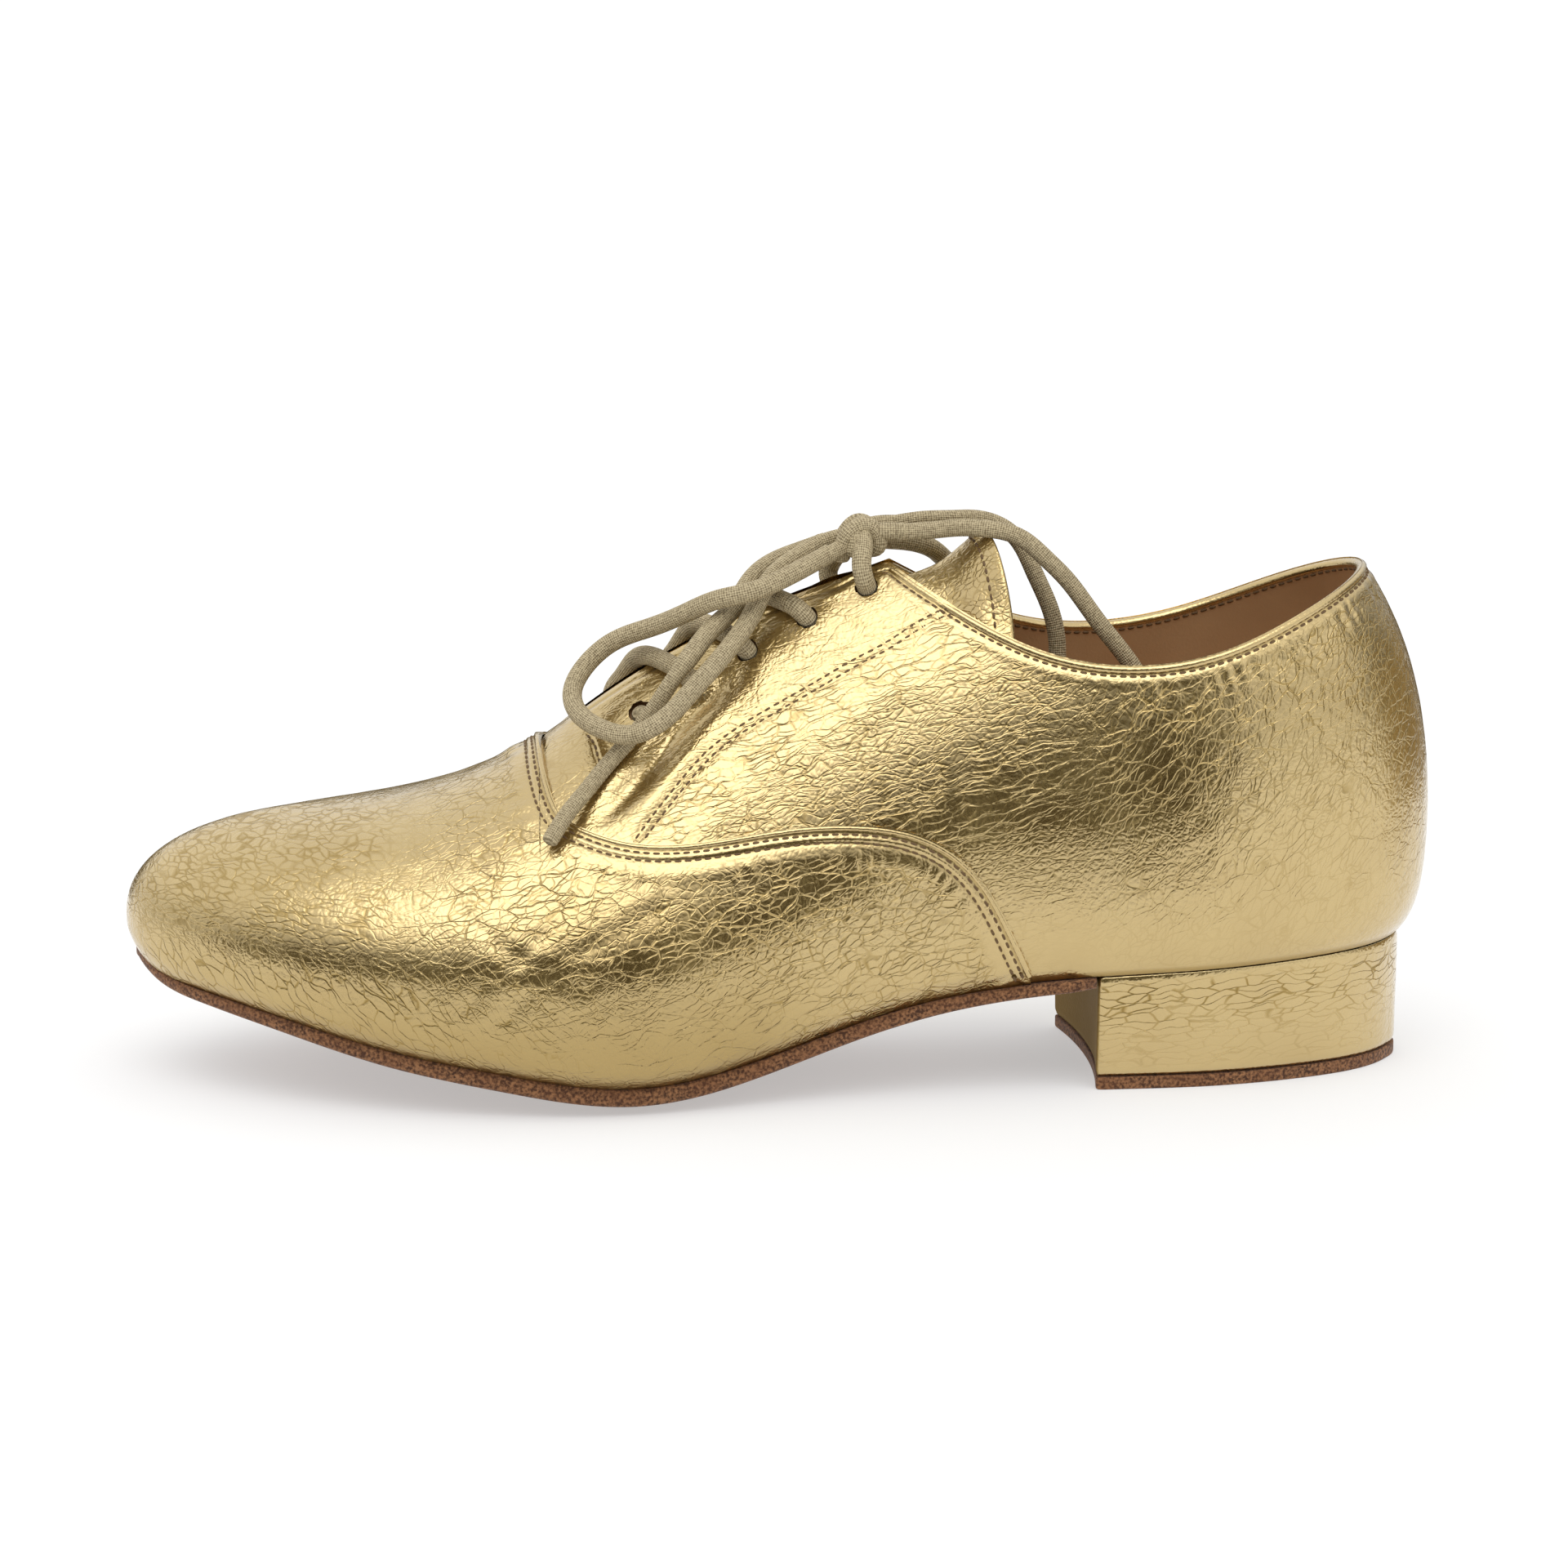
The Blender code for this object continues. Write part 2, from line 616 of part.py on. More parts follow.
def make_outsole(finish, parts):
    rows = [feather_row(p) for p in half_places() if last_spline(p)[0] > BREAST_S + 2 * BREAST_HOLLOW]
    rows.append(breast_row(SEAT_GAP))
    tops, bottoms = [], []
    for s, y, _ in rows:
        top = seat_height(s, y) - SEAT_GAP
        tops.append(np.stack([s, y, top], axis=1))
        bottoms.append(np.stack([s, y, np.maximum(top - sole_thickness(s), 0.0)], axis=1))
    place_object("outsole", plate_mesh("outsole", tops, bottoms), finish, parts)


def heel_rows():
    rows = [feather_row(p) for p in half_places() if last_spline(p)[0] < BREAST_S - 2 * BREAST_HOLLOW]
    return [breast_row(0.0)] + rows


def heel_foot(s, y):
    """The heel's plan at its lower end, narrower than at its seat."""
    lateral_y, _, medial_y, _ = feather(s)
    middle = (lateral_y + medial_y) / 2
    half = (medial_y - lateral_y) / 2
    share = np.clip((BREAST_S - s) / (BREAST_S - RIBS[-1].s), 0, 1)
    taper = HEEL_TAPER_AT_ENDS + (HEEL_TAPER_MIDWAY - HEEL_TAPER_AT_ENDS) * np.sin(np.pi * share)
    return s, y - taper * (y - middle) / np.maximum(half, 2 * HEEL_TAPER_MIDWAY)


def make_heel_block(finish, parts):
    tops, bottoms = [], []
    for s, y, _ in heel_rows():
        tops.append(np.stack([s, y, seat_height(s, y) - SEAT_GAP], axis=1))
        foot_s, foot_y = heel_foot(s, y)
        bottoms.append(np.stack([foot_s, foot_y, np.full(len(s), TOP_PIECE + SEAT_GAP)], axis=1))
    place_object("heel_block", plate_mesh("heel_block", tops, bottoms), finish, parts)


def make_top_piece(finish, parts):
    """The flat piece under the heel, cut to the heel's lower outline."""
    plan = [np.stack(heel_foot(s, y), axis=1) for s, y, _ in heel_rows()]
    lateral = [row[0] for row in plan[1:]]
    medial = [row[-1] for row in plan[-2:0:-1]]
    outline = list(plan[0][::-1]) + lateral + medial
    curve = bpy.data.curves.new("heel_top_piece", "CURVE")
    curve.dimensions = "2D"
    curve.fill_mode = "BOTH"
    curve.extrude = TOP_PIECE / 2 * MM
    line = curve.splines.new("POLY")
    line.points.add(len(outline) - 1)
    line.use_cyclic_u = True
    for point, (s, y) in zip(line.points, outline):
        point.co = (*to_world(s, y, 0.0), 1.0)
    piece = place_object("heel_top_piece", curve, finish, parts)
    piece.location.z = TOP_PIECE / 2 * MM


def make_insole(finish, parts):
    tops, bottoms = [], []
    for place in half_places()[::2]:
        s, y, _ = feather_row(place, INSOLE_INSET)
        seat = seat_height(s, y) + SEAT_GAP
        bottoms.append(np.stack([s, y, seat], axis=1))
        tops.append(np.stack([s, y, seat + INSOLE_THICKNESS], axis=1))
    place_object("insole", plate_mesh("insole", tops, bottoms), finish, parts)


def smooth_route(points, step):
    """Points at even steps on a smooth curve through a route."""
    route = np.asarray(points, float)
    curve = Spline(along(route), route)
    fine = curve(np.linspace(0, along(route)[-1], ROUTE_SAMPLES * len(route)))
    total = along(fine)[-1]
    return at_distances(fine, np.linspace(0, total, max(3, round(total / step) + 1)))


def make_cord(name, points, finish, parts, step=FREE_LACE_STEP):
    """A round lace along a route."""
    curve = bpy.data.curves.new(name, "CURVE")
    curve.dimensions = "3D"
    curve.bevel_depth = LACE / 2 * MM
    curve.bevel_resolution = 2
    curve.use_fill_caps = True
    route = to_world(*smooth_route(points, step).T)
    line = curve.splines.new("POLY")
    line.points.add(len(route) - 1)
    for point, place in zip(line.points, route):
        point.co = (*place, 1.0)
    place_object(name, curve, finish, parts)


def bar_route(number, places=11):
    """A bar's centre line: up the lateral facing, straight over the slit, down the medial facing."""
    start = np.array(eyelet_at(LATERAL, number))
    end = np.array(eyelet_at(MEDIAL, number + 1))
    route = []
    for share in np.linspace(0, 1, places):
        station, across = start + (end - start) * share
        if abs(across) > BAR_SPAN * slit_half(station):
            point, normal = last_point(station, across)
            route.append(point + normal * (LACE / 2 + SEAT_GAP))
    return route


def make_knot(finish, parts):
    """The bow's knot as a plain rounded solid."""
    made = bmesh.new()
    bmesh.ops.create_uvsphere(made, u_segments=16, v_segments=10, radius=1.0)
    bmesh.ops.scale(made, verts=made.verts, vec=np.array(KNOT_HALF) * MM)
    bmesh.ops.translate(made, verts=made.verts, vec=to_world(*KNOT))
    place_object("lace_knot", mesh_from(made, "lace_knot"), finish, parts)


def main():
    for thing in list(bpy.data.objects):
        bpy.data.objects.remove(thing, do_unlink=True)
    parts = bpy.data.collections.new("latin_dance_shoe")
    cutters = bpy.data.collections.new("cutters")
    for collection in (parts, cutters):
        bpy.context.scene.collection.children.link(collection)
    gold = fresh_material("gold_leather", (0.62, 0.46, 0.20), 0.32, 0.9)
    suede = fresh_material("brown_suede", (0.25, 0.12, 0.06), 0.95, 0.0)
    lining = fresh_material("tan_lining", (0.48, 0.30, 0.20), 0.7, 0.0)
    cord = fresh_material("lace_cord", (0.46, 0.38, 0.26), 0.8, 0.0)
    make_outsole(suede, parts)
    make_heel_block(gold, parts)
    make_top_piece(suede, parts)
    make_insole(lining, parts)
    make_upper(gold, parts, cutters)
    make_vamp(gold, parts)
    make_tongue(gold, parts)
    for number in LACE_BARS:
        make_cord(f"lace_bar_{number}", bar_route(number), cord, parts, step=BAR_STEP)
    make_knot(cord, parts)
    for name, route in LACE_ROUTES.items():
        make_cord(name, route, cord, parts)


main()
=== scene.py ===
import math
from collections import namedtuple
from itertools import product

import bmesh
import bpy
import numpy as np
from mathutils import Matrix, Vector
from mathutils.bvhtree import BVHTree
from mathutils.kdtree import KDTree


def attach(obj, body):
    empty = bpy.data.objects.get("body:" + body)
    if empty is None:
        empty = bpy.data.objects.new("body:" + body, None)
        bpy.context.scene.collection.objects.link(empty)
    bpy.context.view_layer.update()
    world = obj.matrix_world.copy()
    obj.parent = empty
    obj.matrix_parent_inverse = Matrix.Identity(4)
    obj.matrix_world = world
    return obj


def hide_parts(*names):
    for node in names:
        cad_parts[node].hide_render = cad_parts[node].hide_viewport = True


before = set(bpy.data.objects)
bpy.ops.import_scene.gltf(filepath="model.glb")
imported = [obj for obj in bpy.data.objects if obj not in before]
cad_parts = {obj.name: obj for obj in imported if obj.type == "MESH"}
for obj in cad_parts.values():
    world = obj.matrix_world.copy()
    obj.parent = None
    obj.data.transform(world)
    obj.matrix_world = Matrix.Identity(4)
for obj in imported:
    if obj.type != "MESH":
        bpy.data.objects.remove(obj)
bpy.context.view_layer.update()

# A station s is millimetres forward of the heel's rearmost point; shapes are made as (s, y, z) in
# millimetres and turned into metres, toe to -X and the outer side of the left foot to -Y.
MM = 0.001
LATERAL = -1
MEDIAL = 1
UP = np.array([0.0, 0.0, 1.0])

LENGTH = 258.0
WALL = 1.6
SEAT_GAP = 0.3
VAMP_LEATHER = 1.0
VAMP_OUTSIDE = SEAT_GAP + VAMP_LEATHER
INSOLE_THICKNESS = 2.5
INSOLE_INSET = 2.4
TONGUE_THICKNESS = 1.5
TONGUE_GAP = 0.7
TONGUE_TOP_S = 90.0
TONGUE_BASE_S = 172.0
TONGUE_HALF_AT_TOP = 30.0
TONGUE_HALF_AT_BASE = 15.0
TONGUE_SKEW = 3.0
TOP_PIECE = 2.5
BREAST_S = 70.2
BREAST_SKEW = 0.8
BREAST_HOLLOW = 2.2
HEEL_TAPER_AT_ENDS = 1.8
HEEL_TAPER_MIDWAY = 4.4
EYELET_BORE = 4.4
EYELET_SKEW = 5.0
SLIT_END_S = 168.0
SLIT_AT_END = 1.2
SLIT_AT_TOP = 4.2
LACE = 3.8
SOLE_PROUD = 1.8
SOLE_TURN_UP = 0.5
FEATHER_TUCK = 0.8
FACING_TOP_S = 110.6
VAMP_END_S = 82.6
# How a rib leaves the feather edge and bends into the swell of the wall, as shares of its swell and rise.
FOOT_REACH = 0.75
FOOT_RISE = 0.15
SWELL_DROP = 0.55
LOW_SAMPLES = 50
HIGH_SAMPLES = 200
LOOKUP_SAMPLES = 800
# The vamp's edge is raised before the throat, so that it runs out smoothly at the ridge.
THROAT_LIFT = 3.0
THROAT_LIFT_FROM_S = 175.2
# How far from a line its relief is looked for.
TOPLINE_REACH = 14.0
VAMP_REACH = 16.0
STAY_REACH = 60.0
TROUGH_REACH = 14.0
TACK_REACH = 4.0
CREASE_REACH = 12.0
# Stitches, and the lace: its step, its ends' caps, its wound tip, and where it is drawn thinner.
STITCH_PITCH = 1.9
STITCH_LENGTH = 1.4
STITCH_WIDTH = 0.60
STITCH_SINK = 0.08
LACE_STEP = 0.45
LACE_SIDES = 24
CAP_TILTS = (35, 65, 88)
CAP_BULGE = 0.55
CAP_STEP = 0.3
TIP_STEP = 0.2
TIP_FROM_END = (46, 42)
TIP_TURN = 0.9
KNOT_RADIUS = 0.46 * LACE
BACK_LOOP_SHARE = 0.9

# The last: one rib for each row, from the feather edge up the wall to the ridge of the instep.
Rib = namedtuple("Rib", "name s lateral medial foot_z arch bulge rise top_s top_y top_z shoulder crown")
RIBS = (
    Rib("toe_tip", 255.6, 5.0, 5.0, 25.4, 0.0, 1.1, 6.5, 222.0, 3.6, 52.0, 0.62, 0.50),
    Rib("toe_round", 251.5, -5.0, 14.5, 22.7, 0.0, 1.6, 7.0, 220.0, 3.5, 52.2, 0.62, 0.50),
    Rib("toe_corner", 243.0, -13.5, 22.5, 20.5, 0.0, 2.2, 8.5, 216.0, 3.3, 52.7, 0.60, 0.50),
    Rib("toe_side", 228.0, -23.8, 31.0, 17.6, 0.0, 3.0, 11.0, 208.0, 2.6, 53.9, 0.56, 0.50),
    Rib("forepart", 207.0, -32.6, 37.2, 12.6, 0.0, 4.2, 14.5, 196.0, 1.4, 56.6, 0.52, 0.45),
    Rib("joint_front", 184.0, -37.4, 38.2, 8.4, 0.0, 5.2, 17.5, 181.0, 0.4, 63.0, 0.47, 0.36),
    Rib("joint", 160.0, -37.0, 33.8, 5.2, 0.3, 5.6, 19.5, 162.0, 0.0, 76.4, 0.46, 0.22),
    Rib("waist_front", 135.0, -32.2, 25.2, 9.4, 2.0, 5.2, 22.0, 138.0, 0.0, 90.8, 0.48, 0.16),
    Rib("waist", 108.0, -28.3, 20.8, 17.9, 3.0, 4.6, 25.0, 113.0, 0.0, 100.8, 0.52, 0.24),
    Rib("breast", 72.0, -27.3, 26.0, 23.1, 1.0, 4.3, 26.0, 84.0, 0.0, 108.2, 0.56, 0.50),
    Rib("heel_side", 47.0, -28.6, 28.4, 24.7, 0.0, 4.0, 25.0, 65.0, 0.0, 112.8, 0.60, 0.61),
    Rib("heel_round", 27.0, -23.4, 24.8, 25.6, 0.0, 4.3, 24.7, 55.0, 0.0, 114.6, 0.59, 0.63),
    Rib("heel_corner", 11.8, -13.2, 15.4, 26.0, 0.0, 4.8, 24.4, 50.0, 0.0, 115.1, 0.57, 0.65),
    Rib("heel_back", 5.2, 1.2, 1.2, 26.2, 0.0, 5.2, 24.0, 48.5, 0.0, 115.2, 0.55, 0.66),
)
# Heights seen from the side: the quarters' topline and the vamp's folded edge.
COLLAR = (
    (14.0, 100.3), (29.0, 93.6), (45.0, 87.2), (62.0, 84.2), (80.0, 86.4), (98.0, 94.8), (111.5, 103.0),
)
VAMP_EDGE = (
    (80.8, 21.2), (84.2, 27.8), (90.0, 39.4), (100.5, 50.6), (114.0, 54.5), (131.0, 54.0),
    (150.0, 51.4), (163.5, 52.2), (170.4, 54.3), (174.6, 60.0), (176.6, 68.5),
)
THROAT_S = VAMP_EDGE[-1][0]
# Eyelets of one facing from the top: station and distance from the facing's edge.
EYELETS = ((114.0, 4.6), (125.6, 6.8), (137.2, 9.0), (147.8, 10.6), (158.0, 11.2))
LACE_BARS = (2, 3, 4)
# Sole: station, thickness, and how far its middle hangs below its edges.
SOLE = (
    (0.0, 2.4, 0.6), (70.0, 2.2, 0.9), (108.0, 2.9, 1.4), (145.0, 3.0, 2.4),
    (175.0, 2.9, 2.4), (207.0, 2.6, 1.8), (236.0, 2.1, 1.0), (256.0, 1.6, 0.0),
)

# The bow: the free runs from the knot out, and the runs to the top eyelets.
LOOP_FRONT = (
    (120.0, -5.0, 103.0), (125.0, -9.0, 101.0), (130.0, -12.0, 99.0), (136.0, -14.0, 97.0),
    (142.0, -13.0, 95.5), (148.0, -10.0, 92.5), (155.0, -6.0, 89.0), (162.0, -4.0, 86.0),
    (167.0, -5.0, 82.0), (170.0, -9.0, 77.5), (169.0, -15.0, 74.0), (165.0, -20.5, 72.0),
    (159.0, -24.5, 71.5), (153.0, -25.0, 74.5), (148.0, -22.5, 79.0), (143.0, -20.0, 84.0),
    (138.5, -15.5, 88.5), (135.0, -11.0, 93.0), (132.0, -8.0, 98.0), (126.5, -4.0, 102.0),
    (121.0, -0.5, 104.5),
)
LOOP_BACK = (
    (107.0, -4.0, 107.0), (101.0, -3.0, 107.0), (95.0, -3.0, 107.5), (89.0, -5.0, 107.5),
    (83.0, -6.0, 106.0), (78.0, -7.0, 102.0), (74.0, -7.0, 98.0), (68.0, -8.0, 90.0),
    (62.5, -9.0, 83.0), (58.5, -9.0, 76.0), (58.0, -8.0, 69.0), (61.0, -6.5, 62.5),
    (68.0, -4.0, 60.5), (74.0, -2.0, 65.0), (75.5, -1.0, 73.0), (74.5, 0.0, 82.0),
    (76.0, 1.0, 91.0), (79.0, 3.0, 98.0), (83.0, 5.0, 105.0), (89.0, 5.0, 108.0),
    (95.0, 3.0, 108.5), (101.0, 2.0, 108.5), (107.0, 3.0, 107.5),
)
END_FRONT = (
    (120.0, 4.0, 104.0), (125.0, 2.5, 102.5), (130.0, 0.0, 101.0), (135.0, -4.0, 98.0),
    (139.0, -9.0, 93.0), (143.0, -13.0, 90.0), (147.0, -17.0, 86.0), (151.0, -19.0, 81.0),
    (155.0, -19.0, 75.0), (160.0, -20.0, 69.0), (164.0, -22.0, 65.0), (168.0, -26.0, 61.0),
    (172.0, -30.0, 57.0), (175.0, -33.0, 53.0),
)
END_BACK = (
    (114.0, 3.5, 105.5), (108.5, 7.0, 104.0), (104.0, 8.0, 103.5), (99.0, 9.5, 102.0),
    (96.0, 12.5, 99.5), (93.0, 16.0, 96.0), (91.0, 19.0, 92.0),
)
STRAND_NEAR = ((113.5, -3.5, 106.5), (113.5, -6.5, 104.5), (114.0, -9.0, 101.0), (113.5, -9.0, 98.5))
STRAND_FAR = ((113.5, 2.5, 106.5), (114.5, 5.0, 104.5), (117.5, 9.0, 100.5), (119.0, 9.5, 97.0))
# Turns of the knot: an arch on the near side, one on the far side, and a wrap over the top.
KNOT_TURNS = (
    ((117.5, -3.5, 102.0), (117.0, -4.0, 105.0), (115.0, -4.0, 107.5), (112.5, -3.5, 108.0),
     (110.5, -3.5, 106.5), (110.5, -3.0, 104.0), (112.0, -1.5, 103.5)),
    ((117.5, 2.5, 103.0), (116.0, 3.0, 106.0), (113.5, 3.0, 108.0),
     (111.0, 3.0, 106.5), (110.0, 3.5, 104.0)),
    ((115.0, -5.0, 103.0), (114.5, -4.5, 106.0), (113.5, -1.0, 108.0),
     (112.5, 3.0, 107.0), (112.5, 5.0, 104.5)),
)
KNOT_STUBS = (
    ((113.0, -2.5, 105.5), (117.0, -4.0, 104.0), (121.5, -6.2, 102.4)),
    ((113.0, 0.0, 106.0), (117.0, 0.0, 105.5), (122.5, -1.3, 104.1)),
    ((113.0, 2.0, 105.0), (117.0, 4.0, 104.5), (121.5, 3.6, 103.6)),
    ((113.0, -2.0, 106.5), (110.0, -3.6, 107.0), (105.5, -3.8, 107.0)),
    ((113.0, 2.0, 107.0), (110.0, 3.0, 107.5), (105.5, 2.8, 107.6)),
)

# Seams and main creases, read off the shoe's side: (s, y, z).
EYESTAY = (
    (96.9, -15.6, 93.6), (102.9, -15.9, 90.9), (108.8, -16.9, 87.3), (115.6, -17.6, 83.8),
    (123.8, -18.6, 79.3), (132.0, -19.6, 74.9), (139.0, -20.8, 70.9), (145.2, -22.8, 66.3),
    (149.5, -25.3, 62.0), (154.4, -28.5, 56.7), (158.2, -31.3, 52.3),
)
FACING_TROUGH = ((138.0, -12.5, 81.5), (142.5, -14.0, 78.5), (148.5, -16.5, 73.5), (155.0, -21.0, 66.0),
                 (160.0, -24.5, 61.0), (165.0, -27.5, 56.5), (169.0, -30.0, 53.0))
# A short sewn line at the foot of the lacing slit, and how far the tongue stands off its bed at a station.
BAR_TACK = ((167.5, -10.0, 69.0), (166.0, -13.0, 67.5), (165.5, -15.5, 66.0), (165.0, -18.0, 64.5))
TONGUE_LIFT = ((90.0, 2.4), (94.0, 0.4), (99.0, -2.4), (106.0, -3.0), (116.0, -2.0), (130.0, 0.0))
Crease = namedtuple("Crease", "depth width points")
BALL_CREASES = (
    Crease(0.15, 2.6, ((199, -29, 46), (193, -35, 41), (187, -39, 36), (180, -42, 31), (170, -43, 27))),
    Crease(0.13, 2.4, ((189, -30, 49), (186, -36, 42), (185, -40, 36), (187, -42, 29), (191, -41, 23))),
    Crease(0.12, 2.4, ((166, -35, 46), (171, -38, 41), (177, -41, 36), (182, -42, 31))),
    Crease(0.13, 2.6, ((155, -38, 40), (163, -41, 36), (171, -42, 32), (178, -43, 27), (184, -42, 21))),
)


def to_world(s, y, z):
    return np.stack(np.broadcast_arrays(LENGTH / 2 - s, y, z), axis=-1) * MM


def unit(vectors):
    """Vectors along the last axis, made one long."""
    return vectors / np.linalg.norm(vectors, axis=-1, keepdims=True)


def hump(x, middle, width):
    return np.exp(-(((x - middle) / width) ** 2))


def smooth_step(x, low, high):
    t = np.clip((x - low) / (high - low), 0, 1)
    return t * t * (3 - 2 * t)


def nearest_tree(points):
    tree = KDTree(len(points))
    for i, point in enumerate(points):
        tree.insert(point, i)
    tree.balance()
    return tree


def second_slopes(knots, rows, closed):
    """Second derivatives of the cubic spline through the rows, natural at the ends if it is open."""
    count = len(rows)
    step = np.diff(knots)
    matrix = np.eye(count)
    right = np.zeros_like(rows)
    for i in range(0 if closed else 1, count if closed else count - 1):
        after = (i + 1) % count
        matrix[i] = 0.0
        matrix[i, i - 1] = step[i - 1]
        matrix[i, i] = 2 * (step[i - 1] + step[i])
        matrix[i, after] = step[i]
        right[i] = (rows[after] - rows[i]) / step[i] - (rows[i] - rows[i - 1]) / step[i - 1]
    return np.linalg.solve(matrix, 6 * right)


class Spline:
    """A cubic spline through rows of values at rising knots; a closed one has a last knot to return at."""

    def __init__(self, knots, rows, closed=False):
        self.knots = np.asarray(knots, float)
        self.rows = np.asarray(rows, float).reshape(len(rows), -1)
        self.bend = second_slopes(self.knots, self.rows, closed)
        self.closed = closed

    def __call__(self, at):
        at = np.asarray(at, float)
        if self.closed:
            at = np.mod(at, self.knots[-1])
        i = np.clip(np.searchsorted(self.knots, at, side="right") - 1, 0, len(self.knots) - 2)
        j = (i + 1) % len(self.rows)
        step = (self.knots[i + 1] - self.knots[i])[..., None]
        b = (at - self.knots[i])[..., None] / step
        a = 1 - b
        curve = (a**3 - a) * self.bend[i] + (b**3 - b) * self.bend[j]
        return a * self.rows[i] + b * self.rows[j] + curve * step**2 / 6


def height_curve(table):
    stations = [row[0] for row in table]
    curve = Spline(stations, [[row[1]] for row in table])
    return lambda s: curve(np.clip(s, stations[0], stations[-1]))[..., 0]


def rib_knots():
    places = [0.0]
    for a, b in zip(RIBS, RIBS[1:]):
        lateral = math.hypot(b.s - a.s, b.lateral - a.lateral)
        medial = math.hypot(b.s - a.s, b.medial - a.medial)
        places.append(places[-1] + (lateral + medial) / 2)
    return np.array(places)


def rib_columns(rib, side):
    across = rib.lateral if side == LATERAL else rib.medial
    foot_z = rib.foot_z + (rib.arch if side == MEDIAL else 0.0)
    top = [rib.top_s, rib.top_y, rib.top_z, rib.shoulder, rib.crown]
    return [rib.s, across, foot_z, rib.bulge, foot_z + rib.rise] + top


def sole_value(column):
    return lambda s: np.interp(s, [row[0] for row in SOLE], [row[column] for row in SOLE])


collar_height = height_curve(COLLAR)
vamp_height = height_curve(VAMP_EDGE)
sole_thickness = sole_value(1)
sole_camber = sole_value(2)
RIB_KNOTS = rib_knots()
HALF_ROUND = RIB_KNOTS[-1]
last_spline = Spline(
    np.concatenate([RIB_KNOTS, 2 * HALF_ROUND - RIB_KNOTS[-2::-1]]),
    [rib_columns(rib, LATERAL) for rib in RIBS] + [rib_columns(rib, MEDIAL) for rib in RIBS[-2:0:-1]],
    closed=True,
)
ridge_spline = Spline([rib.top_s for rib in RIBS[::-1]], [[rib.top_z] for rib in RIBS[::-1]])


def ridge_slope(s, step=2.0):
    low = max(s - step, RIBS[-1].top_s)
    high = min(s + step, RIBS[0].top_s)
    return float((ridge_spline(high) - ridge_spline(low))[0]) / (high - low)


def bezier(points, count):
    t = np.linspace(0, 1, count)[:, None]
    u = 1 - t
    return u**3 * points[0] + 3 * u * u * t * points[1] + 3 * u * t * t * points[2] + t**3 * points[3]


def feather_out(place, small=0.05):
    run = (last_spline(place + small) - last_spline(place - small))[:2]
    out = np.array([run[1], -run[0], 0.0]) / np.hypot(*run)
    s, y = last_spline(place)[:2]
    return out if np.dot(out[:2], [s - LENGTH / 2, y]) > 0 else -out


def rib_line(place):
    """A rib of the last: from the feather edge out to the swell of the wall, then over to the ridge."""
    s, y, foot_z, bulge, bulge_z, top_s, top_y, top_z, shoulder, crown = last_spline(place)
    out = feather_out(place)
    foot = np.array([s, y, foot_z])
    rise = bulge_z - foot_z
    swell = foot + out * bulge + UP * rise
    top = np.array([top_s, top_y, top_z])
    reach = (swell - top) * [1, 1, 0] * crown
    leave = foot + out * bulge * FOOT_REACH + UP * rise * FOOT_RISE
    low = [foot, leave, swell - UP * rise * SWELL_DROP, swell]
    shoulder_point = swell + UP * (top_z - bulge_z) * shoulder
    high = [swell, shoulder_point, top + reach + UP * ridge_slope(top_s) * reach[0], top]
    return np.concatenate([bezier(low, LOW_SAMPLES), bezier(high, HIGH_SAMPLES)[1:]])


def slit_half(s):
    share = np.clip((SLIT_END_S - s) / (SLIT_END_S - FACING_TOP_S), 0, 1)
    return SLIT_AT_END + (SLIT_AT_TOP - SLIT_AT_END) * share


def above_topline(line):
    s, y, z = line.T
    over_collar = z - collar_height(s)
    in_slit = np.where(s > TONGUE_TOP_S, slit_half(s) - np.abs(y), -1.0)
    return np.where(s > SLIT_END_S, -1.0, np.maximum(over_collar, in_slit))


def above_vamp(line):
    s, _, z = line.T
    edge = vamp_height(s) + THROAT_LIFT * smooth_step(s, THROAT_LIFT_FROM_S, THROAT_S)
    return np.where(s > THROAT_S, -1.0, z - edge)


def cut_at(line, past):
    """A rib's part below the first place where past turns positive, and whether there is such a place."""
    value = past(line)
    hits = np.nonzero(value > 0)[0]
    if not len(hits):
        return line, False
    i = max(hits[0], 1)
    share = np.clip(-value[i - 1] / (value[i] - value[i - 1]), 0, 1)
    edge = line[i - 1] + share * (line[i] - line[i - 1])
    return np.concatenate([line[:i], [edge]]), True


def along(line):
    return np.concatenate([[0], np.cumsum(np.linalg.norm(np.diff(line, axis=0), axis=1))])


def at_distances(line, distances):
    run = along(line)
    return np.stack([np.interp(distances, run, line[:, k]) for k in range(3)], axis=-1)


def evenly(line, step):
    """A line again at even steps."""
    total = along(line)[-1]
    return at_distances(line, np.linspace(0, total, max(3, round(total / step) + 1)))


def smooth_route(points, step):
    """Points at even steps on a smooth curve through a route."""
    route = np.asarray(points, float)
    curve = Spline(along(route), route)
    return evenly(curve(np.linspace(0, along(route)[-1], 40 * len(route))), step)


def softened(line, passes, closed=False):
    """A line with its kinks worn down; the ends of an open one stay."""
    line = np.array(line)
    for _ in range(passes):
        mean = (np.roll(line, 1, axis=0) + 2 * line + np.roll(line, -1, axis=0)) / 4
        if closed:
            line = mean
        else:
            line[1:-1] = mean[1:-1]
    return line


def on_side(side, place):
    return place if side == LATERAL else 2 * HALF_ROUND - place


def place_where(column, station):
    places = np.linspace(0, HALF_ROUND, LOOKUP_SAMPLES)
    values = last_spline(places)[:, column]
    return float(np.interp(station, values[::-1], places[::-1]))


def place_of_foot(station):
    return place_where(0, station)


def place_of_top(station):
    return place_where(5, station)


